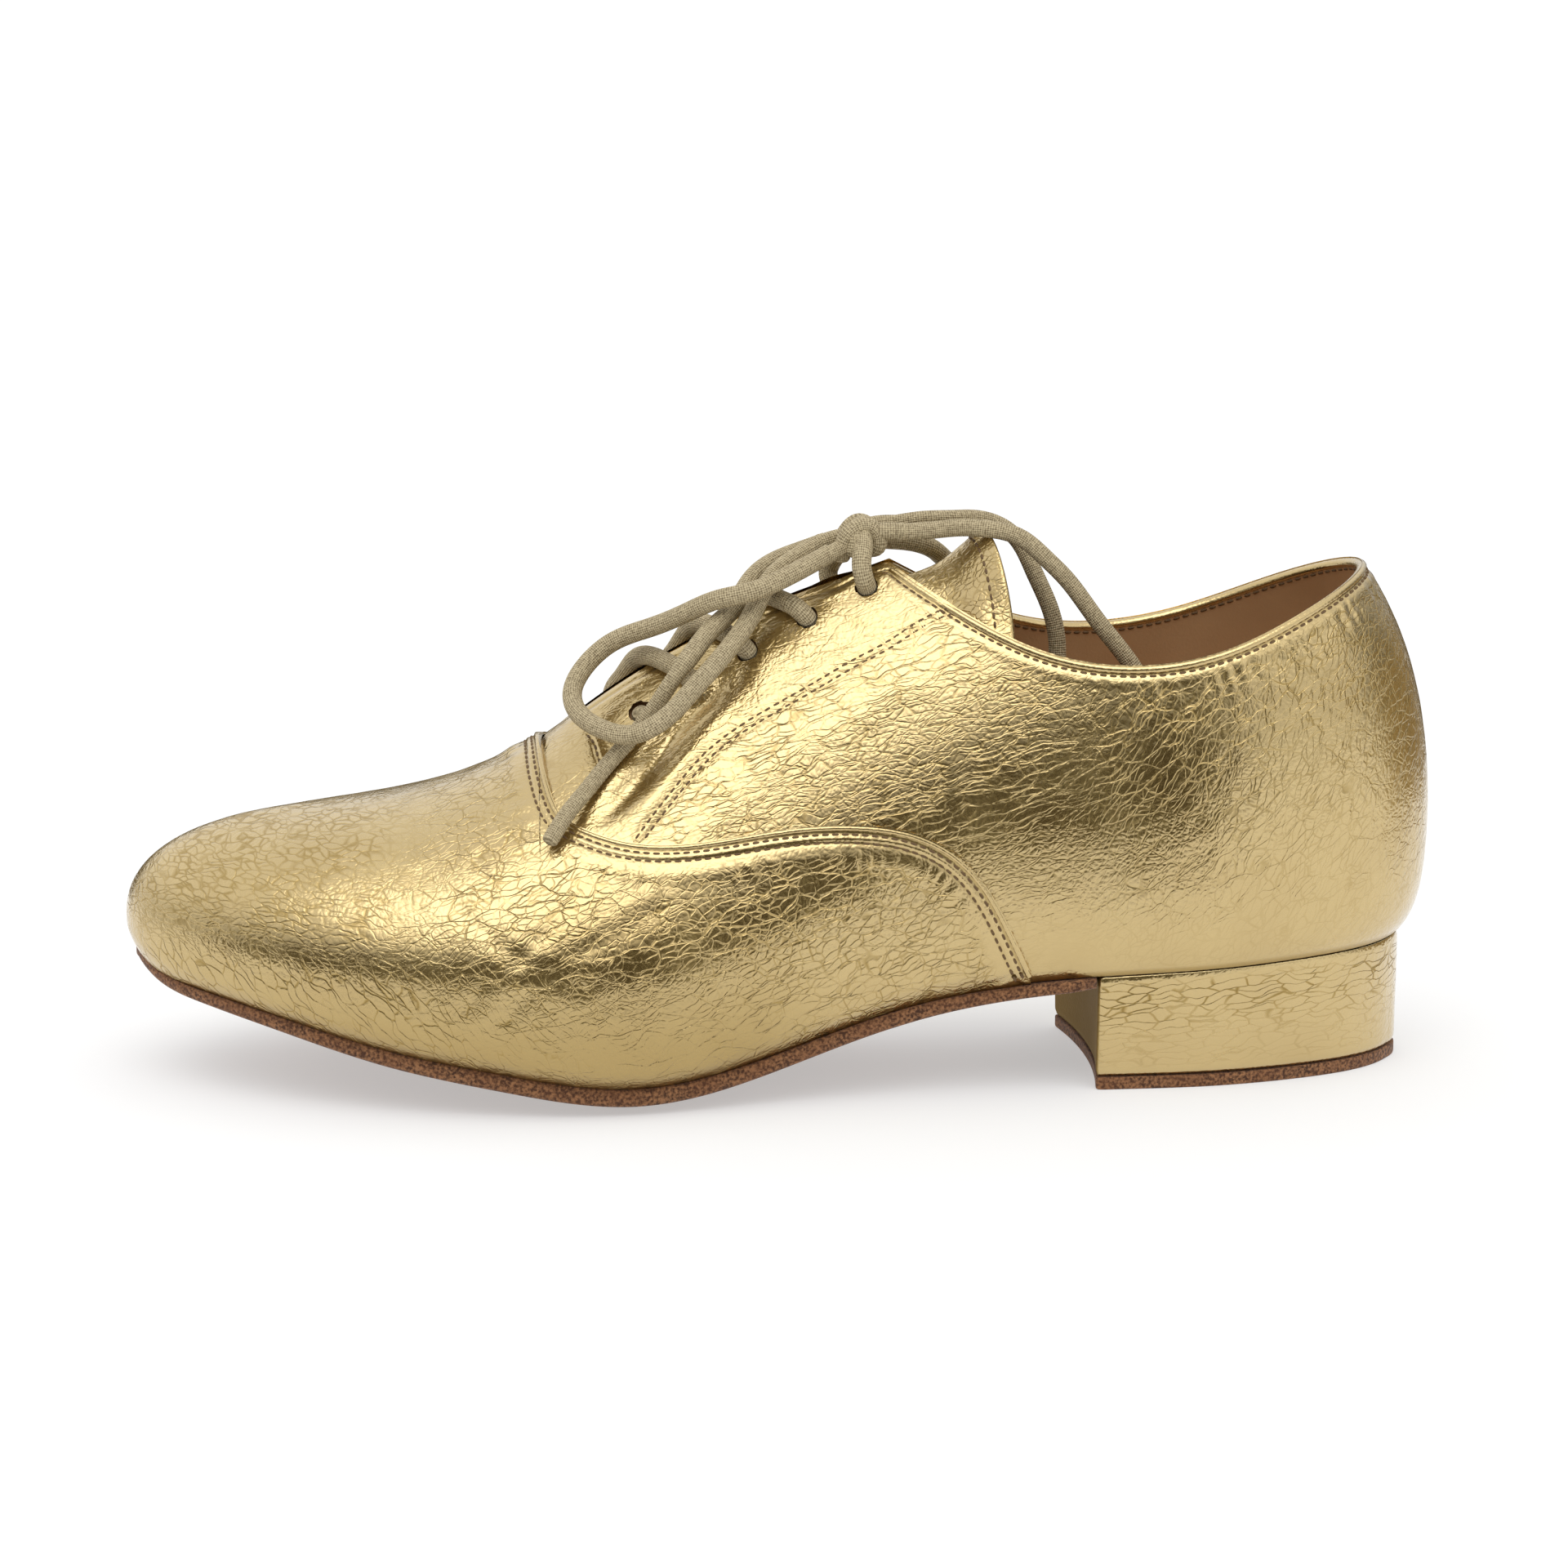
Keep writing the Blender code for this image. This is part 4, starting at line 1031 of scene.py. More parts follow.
def make_quarters():
    first = place_of_top(THROAT_S + 2.5)
    half = side_places(first, HALF_ROUND, 0.52, ((place_of_top(170), place_of_top(108), 0.3),))
    places = np.concatenate([half, 2 * HALF_ROUND - half[-2::-1]])
    rows = []
    for place in places:
        line, _ = cut_at(rib_line(place), above_topline)
        total = along(line)[-1]
        start = 0.0
        if line[0, 0] > VAMP_END_S:
            low, met = cut_at(line, above_vamp)
            start = max(0.0, along(low)[-1] - 6.0) if met else max(0.0, total - 8.0)
        rows.append(at_distances(line, total - rows_from_edge(total - start, 22, 92, 7.0)))
    grid = np.array(rows)
    normals = grid_normals(grid).reshape(-1, 3)
    points = grid.reshape(-1, 3)
    high, painted_shade = quarter_relief(points)
    # Painted shadow line: the strip just above the feather edge, where the upper meets the sole, is
    # darkened.
    foot = 1 - smooth_step((grid[..., 2] - grid[:, -1:, 2]).reshape(-1), 0.2, 1.5)
    painted_shade = np.maximum(painted_shade, 0.9 * foot)
    moved, inside = punch(points)
    skin = moved + normals * high[:, None]
    quads = grid_quads(*grid.shape[:2])
    quads = quads[~inside[quads].any(axis=1)]
    piece = new_piece("quarters", skin, quads, GOLD_QUARTER)
    give(piece, "painted_shade", painted_shade)
    s, _, z = points.T
    top, _ = TOPLINE.measure(points, TOPLINE_REACH)
    calm = smooth_step(np.abs(top), 2.6, 4.5) * (0.4 + 0.6 * smooth_step(z, 28.0, 46.0))
    heel = smooth_step(-s, -84.0, -62.0)
    quiet = 1 - 0.55 * smooth_step(-s, -112.0, -88.0) * (1 - smooth_step(z, 48.0, 76.0))
    give(piece, "front", calm * quiet * (1 - heel) * (1 - 0.5 * facing_share(points, 1.5)))
    give(piece, "rear", calm * quiet * heel)
    weld(piece, outward=1)
    settle(piece, "gold_leather", "upper")


def make_lining():
    places = np.linspace(0, 2 * HALF_ROUND, 420, endpoint=False)
    rows = []
    for place in places:
        line, _ = cut_at(rib_line(place), above_topline)
        rows.append(at_distances(line, np.linspace(0, along(line)[-1] - 0.6, 60)))
    grid = np.array(rows)
    skin = grid - grid_normals(grid) * WALL
    piece = grid_piece("lining", skin, LINING, wrap_rows=True)
    weld(piece, outward=-1)
    settle(piece, "tan_lining", "upper")


def rim(name, course, wide, thick, sink, finish, sides=14):
    """A rolled edge along a course; wide and thick are half its width and thickness, and all can vary."""
    wide, thick, sink = (np.broadcast_to(v, len(course.points))[:, None] for v in (wide, thick, sink))
    middle = course.points + course.across * wide + course.normals * sink
    angle = np.linspace(0, 2 * math.pi, sides, endpoint=False)[None, :, None]
    grid = middle[:, None] + np.cos(angle) * (course.across * wide)[:, None]
    grid = grid + np.sin(angle) * (course.normals * thick)[:, None]
    piece = grid_piece(name, grid, finish, wrap_cols=True)
    weld(piece)
    return piece


def make_rims():
    bead = smooth_step(-TOPLINE.points[:, 0], -118.0, -108.0)
    wide, thick, sink = 0.62 + 0.26 * bead, 0.82 + 0.3 * bead, -0.78 + 0.04 * bead
    top = rim("topline_bead", TOPLINE, wide, thick, sink, GOLD_TRIM)
    settle(top, "gold_leather", "upper")
    fold = rim("vamp_fold", VAMP_SEAM, 0.62, 0.76, VAMP_OUTSIDE - 0.6, GOLD_TRIM)
    settle(fold, "gold_leather", "vamp")


def make_vamp():
    last = place_of_foot(VAMP_END_S)
    half = side_places(0.0, last, 0.56, ((place_of_top(178.5), place_of_top(166), 0.16),))
    places = np.concatenate([2 * HALF_ROUND - half[:0:-1], half])
    rows = []
    for place in places:
        line, _ = cut_at(rib_line(place), above_topline)
        low, _ = cut_at(line, above_vamp)
        total = along(low)[-1]
        rows.append(at_distances(low, total - rows_from_edge(total, 24, 104, 8.0)))
    grid = np.array(rows)
    normals = grid_normals(grid)
    points = grid.reshape(-1, 3)
    high, painted_shade = vamp_relief(points)
    tuck = FEATHER_TUCK * (1 - smooth_step(grid[..., 2] - grid[:, -1:, 2], 0.0, 5.0))
    skin = grid + normals * (VAMP_OUTSIDE + high.reshape(grid.shape[:2]) - tuck)[..., None]
    lip = grid[:, -1:] - normals[:, -1:] * 0.2
    skin = np.concatenate([skin, (skin[:, -1:] * 0.6 + lip * 0.4) - UP * 0.05, lip], axis=1)
    # Painted shade: the vamp is darker low down from the waist forward and in a patch at the ball's middle
    # height, standing for darker reflections there.
    painted_shade_zones = 0.6 * smooth_step(points[:, 0], 112.0, 140.0) * (1 - smooth_step(points[:, 2], 12.0, 38.0))
    painted_shade_zones = np.maximum(painted_shade_zones, 0.35 * hump(points[:, 0], 160.0, 26.0) * hump(points[:, 2], 34.0, 12.0))
    # Painted shadow line: the strip just above the feather edge, where the vamp meets the sole, is
    # darkened.
    foot = 1 - smooth_step((grid[..., 2] - grid[:, -1:, 2]).reshape(-1), 0.2, 1.5)
    painted_shade = np.maximum.reduce([painted_shade, painted_shade_zones, 0.9 * foot])
    painted_shade = np.concatenate([painted_shade.reshape(grid.shape[:2]), np.zeros((len(grid), 2))], axis=1)
    piece = grid_piece("vamp_panel", skin, GOLD_VAMP)
    give(piece, "painted_shade", painted_shade.reshape(-1))
    flat = skin.reshape(-1, 3)
    seam, _ = VAMP_SEAM.measure(flat, VAMP_REACH)
    calm = smooth_step(seam, 5.0, 7.5)
    toe = smooth_step(flat[:, 0], 192.0, 212.0)
    low = (1 - smooth_step(flat[:, 2], 24.0, 38.0)) * smooth_step(flat[:, 0], 120.0, 200.0)
    give(piece, "front", calm * (1 - toe) * (1 - 0.6 * low))
    give(piece, "rear", calm * toe * (1 - low))
    give(piece, "low", calm * low)
    weld(piece, outward=1)
    settle(piece, "gold_leather", "vamp")


def make_tongue():
    stations = np.linspace(0, 1, 70)
    parts = np.linspace(-1, 1, 61)
    top = np.zeros((len(stations), len(parts), 3))
    for i, share in enumerate(stations):
        station = TONGUE_BASE_S + (TONGUE_TOP_S - TONGUE_BASE_S) * share
        width = TONGUE_HALF_AT_BASE + (TONGUE_HALF_AT_TOP - TONGUE_HALF_AT_BASE) * share
        for j, part in enumerate(parts):
            top[i, j] = ridge_look(station + TONGUE_SKEW * share * abs(part), part * width)
    normals = grid_normals(top)
    rows = TONGUE_BASE_S + (TONGUE_TOP_S - TONGUE_BASE_S) * stations
    stand = softened(np.interp(rows, *np.array(TONGUE_LIFT).T), 6)[:, None]
    flank = 1 - smooth_step(np.abs(parts), 0.4, 0.9)[None, :]
    top = top + normals * np.where(stand > 0, stand * flank, stand)[..., None]
    depth = WALL + TONGUE_GAP
    angle = np.linspace(0, math.pi, 7)[1:-1]
    half = TONGUE_THICKNESS / 2

    def edge_arc(row_points, row_normals, out):
        middle = row_points - row_normals * (depth + half)
        return [middle + row_normals * half * math.cos(a) + out * half * math.sin(a) for a in angle]

    across = unit(top[:, -1] - top[:, -2])
    back = unit(top[:, 0] - top[:, 1])
    profile = [top[:, j] - normals[:, j] * depth for j in range(len(parts))]
    profile += edge_arc(top[:, -1], normals[:, -1], across)
    profile += [top[:, j] - normals[:, j] * (depth + TONGUE_THICKNESS) for j in range(len(parts))][::-1]
    profile += edge_arc(top[:, 0], normals[:, 0], back)[::-1]
    loop = np.stack(profile, axis=1)
    caps = []
    ahead = unit(top[-1] - top[-2])
    core = top[-1] - normals[-1] * (depth + half)
    middle_row = np.array([core[np.argmin(np.linalg.norm(core - p, axis=1))] for p in loop[-1]])
    run = np.array([ahead[np.argmin(np.linalg.norm(top[-1] - p, axis=1))] for p in loop[-1]])
    for a in (30, 60, 90):
        turn = math.radians(a)
        caps.append(middle_row + (loop[-1] - middle_row) * math.cos(turn) + run * half * math.sin(turn))
    loop = np.concatenate([loop, np.array(caps)], axis=0)
    piece = grid_piece("tongue_leather", loop, GOLD_TRIM, wrap_cols=True)
    # Painted shade: the last rows along the tongue's top edge are darkened.
    edge = np.zeros(loop.shape[:2])
    edge[-2:] = 0.7
    give(piece, "painted_shade", edge.reshape(-1))
    give(piece, "front", np.full(edge.size, 0.8))
    weld(piece)
    settle(piece, "gold_leather", "tongue")
    row = int(np.argmin(np.abs(along(top[::-1, len(parts) // 2]) - 3.0)))
    seam = (top - normals * depth)[-1 - row]
    return seam, normals[-1 - row]


def closed_outline(points, step, passes):
    line = np.concatenate([points, points[:1]])
    return softened(evenly(line, step)[:-1], passes, closed=True)


def across_row(lateral, medial, count):
    share = np.linspace(0, 1, count + 1)
    line = np.asarray(lateral) + (np.asarray(medial) - np.asarray(lateral)) * share[:, None]
    return line[:, 0], line[:, 1], 4 * share * (1 - share)


def feather_row(place, count, inset=0.0):
    ends = [(last_spline(p)[:3] - feather_out(p) * inset)[:2] for p in (place, on_side(MEDIAL, place))]
    return across_row(*ends, count)


def breast_row(gap, count):
    lateral_y, _, medial_y, _ = feather(BREAST_S)
    ahead = BREAST_S + gap
    s, y, middle = across_row((ahead - BREAST_SKEW, lateral_y), (ahead + BREAST_SKEW, medial_y), count)
    return s - BREAST_HOLLOW * middle, y, middle


def plate(name, rows, thickness_top, thickness_bottom, finish, edge=0.5):
    """A plate with rounded edges, row by row along the shoe; heights come from two functions of (s, y)."""
    loops = []
    for s, y, _ in rows:
        top = thickness_top(s, y)
        bottom = thickness_bottom(s, y)
        width = max(abs(y[-1] - y[0]), 0.01)
        soft = min(edge, width / 4)
        inner = y + (y.mean() - y) * (2 * soft / width)
        upper = np.stack([s, inner, top], axis=1)
        lower = np.stack([s, inner, bottom], axis=1)
        right = np.array([[s[-1], y[-1], top[-1] - soft], [s[-1], y[-1], bottom[-1] + soft]])
        left = np.array([[s[0], y[0], bottom[0] + soft], [s[0], y[0], top[0] - soft]])
        loops.append(np.concatenate([upper, right, lower[::-1], left]))
    grid = np.array(loops)
    for end in (0, -1):
        middle = grid[end].mean(axis=0)
        flat = grid[end] * [1, 1, 0] + [0, 0, middle[2]]
        cap = flat[None]
        grid = np.concatenate([cap, grid]) if end == 0 else np.concatenate([grid, cap])
    piece = grid_piece(name, grid, finish, wrap_cols=True)
    weld(piece)
    return piece


def make_sole():
    near = place_of_foot(BREAST_S + 2 * BREAST_HOLLOW)
    places = np.concatenate([np.linspace(0.0, 12, 24, endpoint=False), np.linspace(12, near, 190)])
    rows = [feather_row(p, 24, -SOLE_PROUD * (0.4 + 0.6 * smooth_step(p, 0.0, 25.0))) for p in places]
    rows.append(breast_row(SEAT_GAP, 24))

    def seat(s, y):
        return seat_height(s, y) - SEAT_GAP

    def top(s, y):
        share = np.abs(np.linspace(-1, 1, len(s)))
        return seat(s, y) + SOLE_TURN_UP * smooth_step(s, 80.0, 170.0) * smooth_step(share, 0.88, 1.0)

    def bottom(s, y):
        return np.maximum(seat(s, y) - sole_thickness(s), 0.0)

    piece = plate("sole_suede", rows, top, bottom, SUEDE)
    settle(piece, "brown_suede", "outsole")


def make_sock():
    rows = [feather_row(p, 20, INSOLE_INSET) for p in np.linspace(0.0, HALF_ROUND, 160)]

    def bottom(s, y):
        return seat_height(s, y) + SEAT_GAP

    def top(s, y):
        return bottom(s, y) + INSOLE_THICKNESS

    piece = plate("sock", rows, top, bottom, LINING)
    settle(piece, "tan_lining", "insole")


def heel_foot(s, y):
    lateral_y, _, medial_y, _ = feather(s)
    middle = (lateral_y + medial_y) / 2
    half = (medial_y - lateral_y) / 2
    share = np.clip((BREAST_S - s) / (BREAST_S - RIBS[-1].s), 0, 1)
    taper = HEEL_TAPER_AT_ENDS + (HEEL_TAPER_MIDWAY - HEEL_TAPER_AT_ENDS) * np.sin(np.pi * share)
    return s, y - taper * (y - middle) / np.maximum(half, 2 * HEEL_TAPER_MIDWAY)


def heel_outline():
    """The heel's plan at its seat: breast from medial to lateral, lateral side, back, medial side."""
    s, y, _ = breast_row(0.0, 40)
    breast = np.stack([s, y, 0 * s], axis=1)[::-1]
    places = np.linspace(place_of_foot(BREAST_S - BREAST_SKEW), HALF_ROUND, 160)
    lateral = last_spline(places)[:, :3] * [1, 1, 0]
    places = np.linspace(place_of_foot(BREAST_S + BREAST_SKEW), HALF_ROUND, 160)
    medial = last_spline(on_side(MEDIAL, places))[::-1][:, :3] * [1, 1, 0]
    return closed_outline(np.concatenate([breast, lateral[1:], medial[1:-1]]), 0.5, 5)


def capped(levels):
    """Closes a stack of outlines with a fan at each end."""
    def fan(outline):
        middle = outline.mean(axis=0)
        return [middle + (outline - middle) * share for share in (0.0, 0.33, 0.66, 0.95)]

    return np.array(fan(levels[0]) + list(levels) + fan(levels[-1])[::-1])


def make_heel():
    plan = heel_outline()
    foot_s, foot_y = heel_foot(plan[:, 0], plan[:, 1])
    low = np.stack([foot_s, foot_y, np.full(len(plan), TOP_PIECE + SEAT_GAP)], axis=1)
    high = np.stack([plan[:, 0], plan[:, 1], seat_height(plan[:, 0], plan[:, 1]) - SEAT_GAP], axis=1)
    levels = np.array([low + (high - low) * share for share in np.linspace(0, 1, 48)])
    normals = grid_normals(np.swapaxes(levels, 0, 1))
    normals *= np.sign(np.sum(normals * np.swapaxes(levels - levels.mean(axis=(0, 1)), 0, 1)))
    points = np.swapaxes(levels, 0, 1).reshape(-1, 3)
    share = np.tile(np.linspace(0, 1, 48), len(plan))
    calm = smooth_step(share, 0.04, 0.15) * smooth_step(1 - share, 0.02, 0.15)
    fine = calm * (0.25 + 0.75 * smooth_step(share, 0.3, 0.75))
    relief = calm * wrinkles(points, ((4.4, 31, (2.2, 2.2, 1.0), 6, 0.05 * fine),))
    soft = 0.35 * (hump(share, 0, 0.03) + hump(share, 1, 0.03))
    relief = (relief - soft).reshape(len(plan), -1)
    skin = np.swapaxes(np.swapaxes(levels, 0, 1) + normals * relief[..., None], 0, 1)
    grid = capped(skin)
    pad = (len(grid) - len(skin)) // 2
    blank = np.zeros((pad, len(plan)))
    fine = np.concatenate([blank, np.swapaxes(fine.reshape(len(plan), -1), 0, 1), blank])
    piece = grid_piece("heel_cover", grid, GOLD_HEEL, wrap_cols=True)
    give(piece, "front", fine.reshape(-1))
    # Painted shade: the breast, facing the toe under the shoe, is darkened much further and made rougher.
    breast = np.concatenate([blank, np.swapaxes(1.6 * smooth_step(normals[..., 0], 0.5, 0.9), 0, 1), blank])
    give(piece, "painted_shade", breast.reshape(-1))
    weld(piece)
    settle(piece, "gold_leather", "heel_block")
    outline = np.stack([foot_s, foot_y, np.zeros(len(plan))], axis=1)
    middle = outline.mean(axis=0)
    inward = unit(middle - outline)
    steps = (
        (0.0, 0.35), (0.2, 0.08), (0.5, 0.0),
        (TOP_PIECE - 0.4, 0.0), (TOP_PIECE - 0.1, 0.06), (TOP_PIECE, 0.3),
    )
    tip = capped(np.array([outline + inward * inset + UP * height for height, inset in steps]))
    piece = grid_piece("heel_tip", tip, SUEDE, wrap_cols=True)
    weld(piece)
    settle(piece, "brown_suede", "heel_top_piece")


# Laces


def tube(route, radius):
    """Points and faces of a round-ended cord on a route, with its lengthwise and crosswise coordinates."""
    run = unit(np.gradient(route, axis=0))
    side = unit(np.cross(run[0], [0.31, 0.52, 0.79]))
    radius = np.broadcast_to(radius, len(route))
    angle = np.linspace(0, 2 * math.pi, LACE_SIDES, endpoint=False)
    circles = []
    for direction in run:
        side = unit(side - direction * np.dot(side, direction))
        circles.append(np.cos(angle)[:, None] * side + np.sin(angle)[:, None] * np.cross(direction, side))
    rings = [middle + wide * circle for middle, wide, circle in zip(route, radius, circles)]
    places = list(along(route))
    total = places[-1]
    for i, out in ((0, -run[0]), (-1, run[-1])):
        caps = []
        for tilt in map(math.radians, CAP_TILTS):
            ring = route[i] + out * radius[i] * CAP_BULGE * math.sin(tilt)
            caps.append(ring + radius[i] * math.cos(tilt) * circles[i])
        steps = [CAP_STEP * (k + 1) for k in range(len(caps))]
        if i:
            rings += caps
            places += [total + step for step in steps]
        else:
            rings = caps[::-1] + rings
            places = [-step for step in steps[::-1]] + places
    grid = np.array(rings)
    quads = grid_quads(*grid.shape[:2], wrap_cols=True)
    lengthwise = np.repeat(places, LACE_SIDES)
    crosswise = np.tile(angle * LACE / 2, len(rings))
    return grid.reshape(-1, 3), quads, np.stack([lengthwise, crosswise], axis=1)


def cord_piece(name, routes, radius=LACE / 2):
    """The lace node's piece from one or more runs, with the coordinates that the weave follows."""
    tubes = [tube(route, radius) for route in routes]
    uv = np.concatenate([part[2] for part in tubes])
    piece = new_piece(name, *join([part[:2] for part in tubes]), CORD)
    layer = piece.data.uv_layers.new(name="UVMap")
    corners = np.zeros(len(piece.data.loops), dtype=np.int64)
    piece.data.loops.foreach_get("vertex_index", corners)
    whole = math.pi * LACE
    quad_uv = uv[corners].reshape(-1, 4, 2)
    cross = quad_uv[:, :, 1]
    over_join = np.ptp(cross, axis=1, keepdims=True) > whole / 2
    quad_uv[:, :, 1] = np.where(over_join & (cross < whole / 2), cross + whole, cross)
    layer.data.foreach_set("uv", quad_uv.reshape(-1).astype(np.float32))
    made = bmesh.new()
    made.from_mesh(piece.data)
    bmesh.ops.recalc_face_normals(made, faces=made.faces)
    made.to_mesh(piece.data)
    made.free()
    return settle(piece, "lace_cord", "lace_" + name)


def world_path(route):
    return [tuple(p) for p in to_world(*np.asarray(route).T)]


def bar_route(number, places=11):
    """A bar's line: out of a lateral eyelet, over the slit, and down into the next medial eyelet."""
    a, out_a = eyelet_frame(LATERAL, number)
    b, out_b = eyelet_frame(MEDIAL, number + 1)
    start_s, start_edge = EYELETS[number - 1]
    end_s, end_edge = EYELETS[number]
    start = np.array([start_s, -(float(slit_half(start_s)) + start_edge)])
    end = np.array([end_s + EYELET_SKEW, float(slit_half(end_s)) + end_edge])
    lift = LACE / 2 + SEAT_GAP
    route = [a - out_a * 2.4, a - out_a * 0.4]
    for share in np.linspace(0, 1, places)[1:-1]:
        station, across = start + (end - start) * share
        if abs(across) > 0.6 * slit_half(station):
            point, normal = LAST.at(ridge_look(station, across))
            route.append(point + normal * lift)
    return route + [b - out_b * 0.4, b - out_b * 2.4]


def into_eyelet(points, side):
    middle, out = eyelet_frame(side, 1)
    return list(points) + [middle + out * 0.6, middle - out * 2.6]


def make_laces():
    for number in LACE_BARS:
        runs = [bar_route(number)]
        if number == LACE_BARS[-1]:
            middle, out = eyelet_frame(LATERAL, number + 1)
            runs.append([middle - out * 4.5 - [5, 0, 0], middle - out * 2.2, middle - out * 0.5])
        cord_piece(f"bar_{number}", [smooth_route(run, LACE_STEP) for run in runs])
    for name, points, side in (("near", STRAND_NEAR, LATERAL), ("far", STRAND_FAR, MEDIAL)):
        cord_piece(f"strand_{name}", [smooth_route(into_eyelet(points, side), LACE_STEP)])
    cord_piece("knot", [smooth_route(run, LACE_STEP) for run in KNOT_TURNS + KNOT_STUBS], KNOT_RADIUS)
    for name, points, far_end, lay in (
        ("loop_front", LOOP_FRONT, "object", "loose"),
        ("loop_back", LOOP_BACK, "object", "hanging"),
        ("end_front", END_FRONT, "bare", "hanging"),
        ("end_back", END_BACK, "bare", "hanging"),
    ):
        route = smooth_route(points, TIP_STEP if name == "end_front" else LACE_STEP)
        run = along(route)
        length = run[-1]
        width = np.full(len(route), LACE / 2)
        if name == "end_front":
            wound = smooth_step(run, *(length - back for back in TIP_FROM_END))
            width += wound * (0.05 * np.sin(2 * math.pi * run / TIP_TURN) - 0.32)
        if name == "loop_back":
            width *= BACK_LOOP_SHARE
        piece = cord_piece(name, [route], width)
        world_path(route[:1])[0]
        world_path(route)


# Stitches


def stitch_mesh(lines):
    """Short rounded stitches along lines of points with normals, as one mesh."""
    rings = ((-1.0, 0.0), (-0.92, 0.55), (-0.6, 0.95), (0.0, 1.0), (0.6, 0.95), (0.92, 0.55), (1.0, 0.0))
    angle = np.linspace(0, 2 * math.pi, 8, endpoint=False)
    shape = np.array([(x, r * math.cos(a), r * math.sin(a)) for x, r in rings for a in angle])
    shape = shape * [STITCH_LENGTH / 2, STITCH_WIDTH / 2, STITCH_WIDTH / 2]
    quads = grid_quads(len(rings), len(angle), wrap_cols=True)
    reach = 0.4
    parts = []
    for points, normals in lines:
        run = along(points)
        places = np.arange(STITCH_PITCH / 2, run[-1], STITCH_PITCH)
        ahead = at_distances(points, np.minimum(places + reach, run[-1]))
        way = unit(ahead - at_distances(points, np.maximum(places - reach, 0)))
        up = np.stack([np.interp(places, run, normals[:, k]) for k in range(3)], axis=1)
        up = unit(up - way * np.sum(up * way, axis=1, keepdims=True))
        axes = np.stack([way, np.cross(up, way), up], axis=1)
        middle = at_distances(points, places) - up * STITCH_SINK
        parts += [(one, quads) for one in middle[:, None] + shape @ axes]
    return join(parts)


def make_stitches(tongue_edge, tongue_normals):
    def add(name, lines):
        piece = new_piece(name, *stitch_mesh(lines), THREAD)
        weld(piece)
        settle(piece, "gold_leather")

    def laid(course, distance, relief, lift=0.0):
        points, normals = course.offset(LAST, distance)
        return points + normals * (relief(points)[0] + lift)[:, None], normals

    add("vamp_stitches", [laid(VAMP_SEAM, away, vamp_relief, VAMP_OUTSIDE) for away in (1.8, 3.35)])
    add("eyestay_stitches", [laid(stay, away, quarter_relief) for stay in STAYS for away in (0.68, -0.68)]
        + [laid(TACK, 0.0, quarter_relief)])
    rear = TOPLINE.points[:, 0] < 112.5
    points, normals = laid(TOPLINE, 2.2, quarter_relief)
    add("topline_stitches", [(points[rear], normals[rear])])
    add("tongue_stitches", [(tongue_edge, tongue_normals)])
    inner, inner_normals = TOPLINE.offset(LAST, 1.9, -WALL - 0.02)
    add("lining_stitches", [(inner[rear], -inner_normals[rear])])


# Light, floor and camera


# Soft lights of the sky: turn from the camera's side towards the heel, height, outer and inner angle, and
# power.
SOFTBOXES = ((-14, 62, 32, 12, 1.9), (54, 13, 38, 10, 0.7))
# Low dark bands round the shoe, which the leather mirrors and the picture doesn't show: how bright each is,
# and its line as (x, y, height) in metres.
DARK_BANDS = (
    (0.06, (-0.34, -0.08, 0.06), (-0.20, -0.16, 0.065), (-0.05, -0.19, 0.085), (0.08, -0.27, 0.135),
     (0.18, -0.36, 0.17)),
    (0.34, (0.42, -0.03, 0.13), (0.41, 0.10, 0.13), (0.33, 0.26, 0.12)),
    (0.12, (0.32, 0.28, 0.10), (0.20, 0.36, 0.12), (-0.10, 0.38, 0.12), (-0.32, 0.25, 0.10)),
)


def board(name, points, faces, colour):
    """A plain matt sheet of the stage, and its finish."""
    n = Finish(name)
    n.set(Base_Color=(*colour, 1), Roughness=1.0, Specular_IOR_Level=0.0)
    mesh = bpy.data.meshes.new(name)
    mesh.from_pydata(points, [], faces)
    mesh.materials.append(n.material)
    sheet = bpy.data.objects.new(name, mesh)
    bpy.context.scene.collection.objects.link(sheet)
    return sheet, n


def direction(turn, height):
    """The way out from the shoe, turned from its outer side to the heel and raised, in degrees."""
    turn, height = math.radians(turn), math.radians(height)
    return Vector((math.sin(turn) * math.cos(height), -math.cos(turn) * math.cos(height), math.sin(height)))


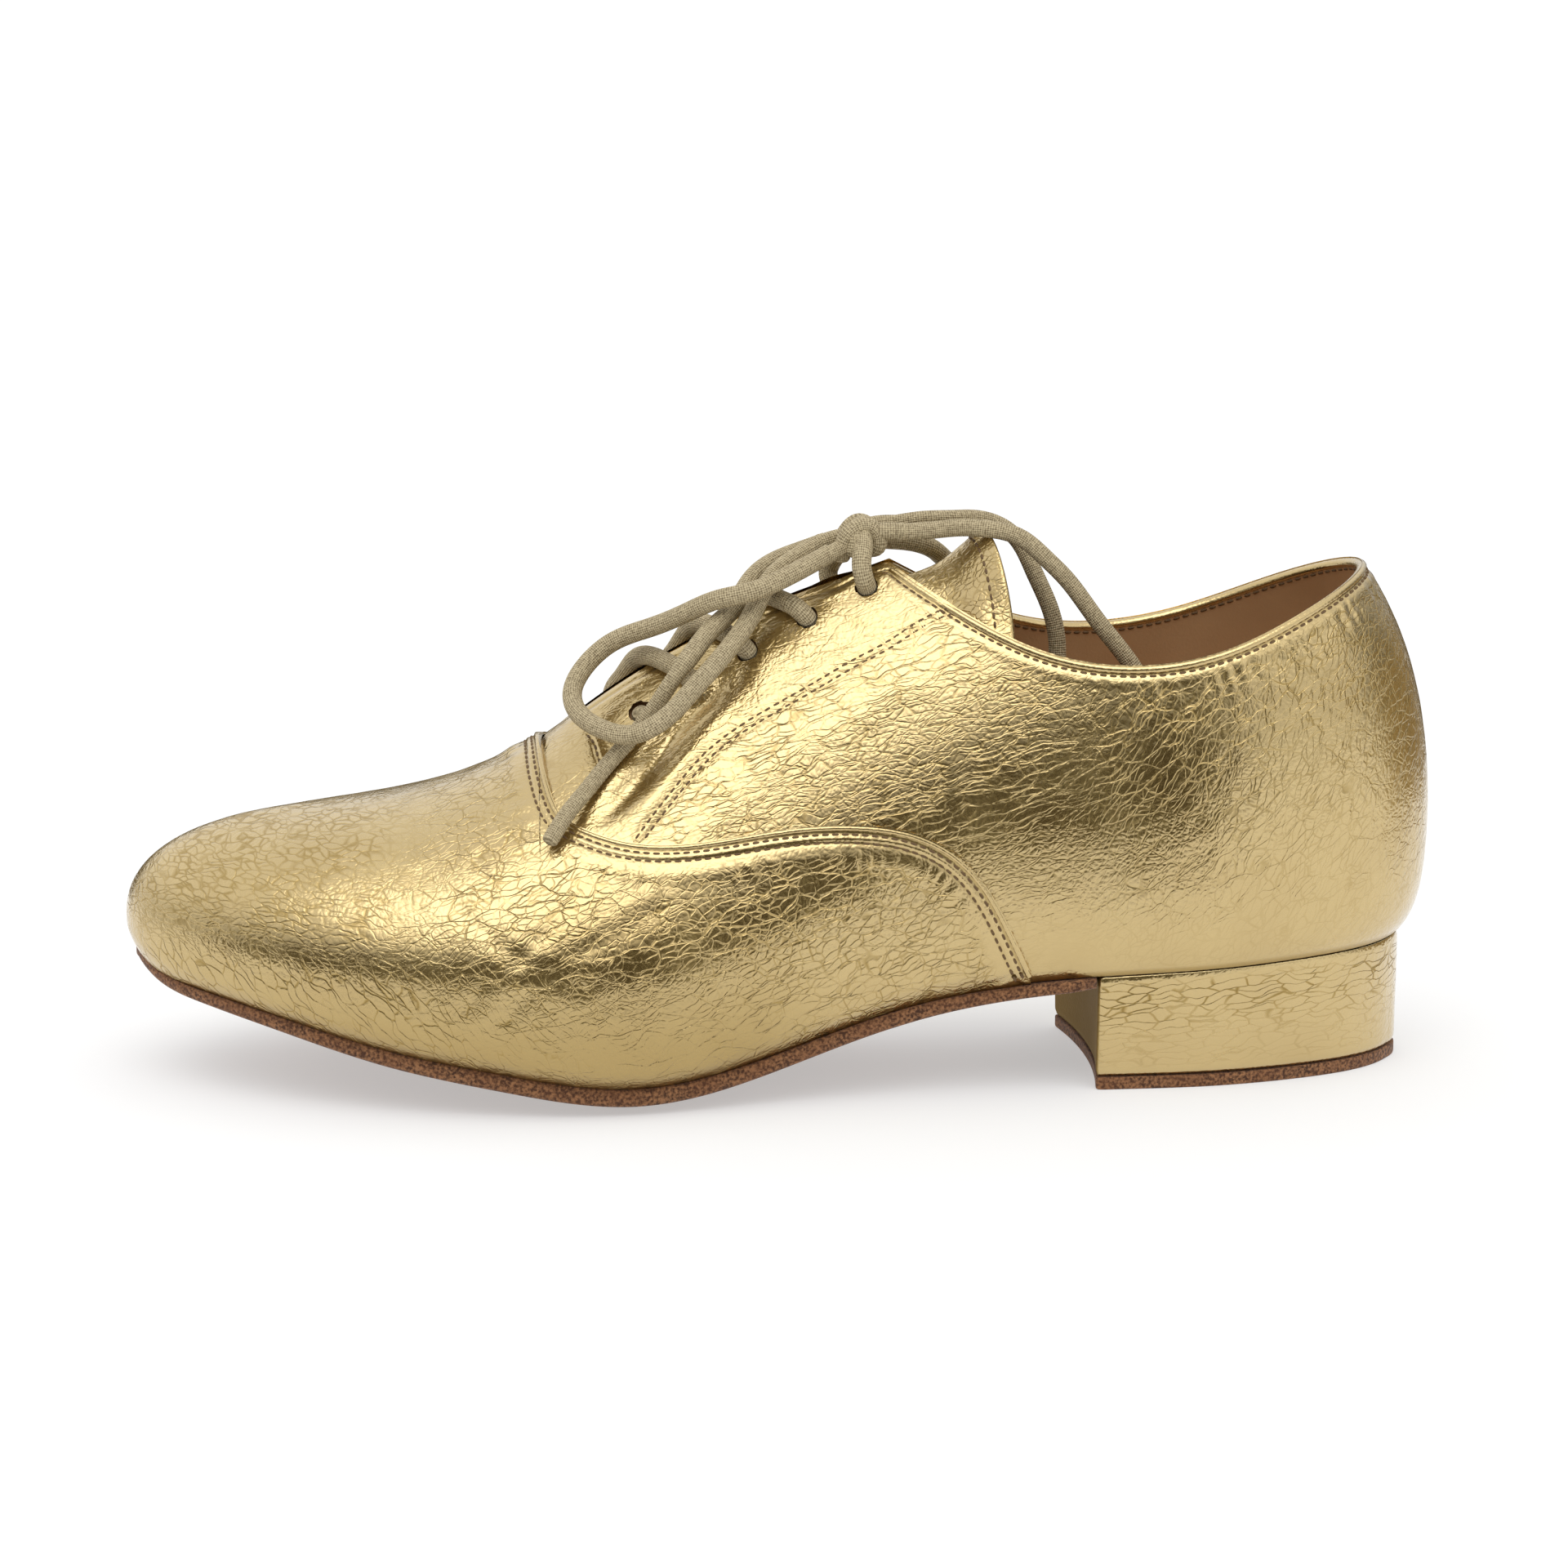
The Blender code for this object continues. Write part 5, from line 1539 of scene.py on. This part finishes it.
def make_sky():
    """Soft light from above, two soft boxes on the camera's side, and a little light low at the back."""
    world = bpy.data.worlds.new("studio")
    bpy.context.scene.world = world
    world.use_nodes = True
    n = Nodes(world.node_tree)
    way = n.place("Generated")
    split = n.add("ShaderNodeSeparateXYZ")
    n.link(way, split.inputs[0])
    x, y, z = split.outputs
    ramp = n.add("ShaderNodeValToRGB")
    n.link(z, ramp.inputs[0])
    stops = ((0.0, 0.04), (0.22, 0.08), (0.40, 0.34), (0.60, 0.85), (0.85, 1.0))
    while len(ramp.color_ramp.elements) < len(stops):
        ramp.color_ramp.elements.new(0.5)
    for element, (place, tone) in zip(ramp.color_ramp.elements, stops):
        element.position = place
        element.color = (tone, tone, tone, 1)
    side = n.math("MULTIPLY_ADD", y, 0.42, n.math("MULTIPLY_ADD", x, -0.30, 0.30))
    side = n.math("MINIMUM", n.math("MAXIMUM", side, 0.03), 1.0)
    low = n.math("MULTIPLY", side, n.spread(z, 0.25, 0.85, 1.0, 0.0, soft=True))
    light = n.math("ADD", ramp.outputs[0], low)
    for turn, height, edge, core, power in SOFTBOXES:
        facing = n.add("ShaderNodeVectorMath", operation="DOT_PRODUCT")
        n.link(way, facing.inputs[0])
        facing.inputs[1].default_value = direction(turn, height)
        edge, core = math.cos(math.radians(edge)), math.cos(math.radians(core))
        light = n.math("ADD", light, n.spread(facing.outputs["Value"], edge, core, 0.0, power, soft=True))
    n.link(light, n.tree.nodes["Background"].inputs["Color"])


def make_stage():
    bpy.context.scene.view_settings.view_transform = "Standard"
    reach = 30.0
    corners = [(-reach, -reach, 0), (reach, -reach, 0), (reach, reach, 0), (-reach, reach, 0)]
    _, n = board("floor", corners, [(0, 1, 2, 3)], (0.55, 0.55, 0.55))
    n.set(Emission_Color=(1, 1, 1, 1), Emission_Strength=0.42)
    make_sky()
    for number, (tone, *points) in enumerate(DARK_BANDS):
        top = smooth_route(points, 0.01)
        count = len(top)
        faces = [(i, i + 1, count + i + 1, count + i) for i in range(count - 1)]
        corners = np.concatenate([top * [1, 1, 0] + UP * MM, top])
        band, _ = board(f"dark_band_{number}", corners.tolist(), faces, (tone, 0.75 * tone, 0.38 * tone))
        band.visible_camera = band.visible_diffuse = band.visible_shadow = False

    target = Vector((0, 0, 0.055))
    distance, azimuth, elevation = 0.85, -4.0, 11.5
    data = bpy.data.cameras.new("camera")
    data.lens = 99.01
    data.sensor_width = 36.0
    data.shift_x = 0.00194
    data.shift_y = 0.00491
    camera = bpy.data.objects.new("camera", data)
    camera.location = target + distance * direction(azimuth, elevation)
    camera.rotation_euler = (target - camera.location).to_track_quat("-Z", "Y").to_euler()
    bpy.context.scene.collection.objects.link(camera)
    bpy.context.scene.camera = camera


make_stage()
make_laces()
make_quarters()
make_lining()
make_vamp()
make_rims()
tongue_edge, tongue_normals = make_tongue()
make_sole()
make_sock()
make_heel()
make_stitches(tongue_edge, tongue_normals)
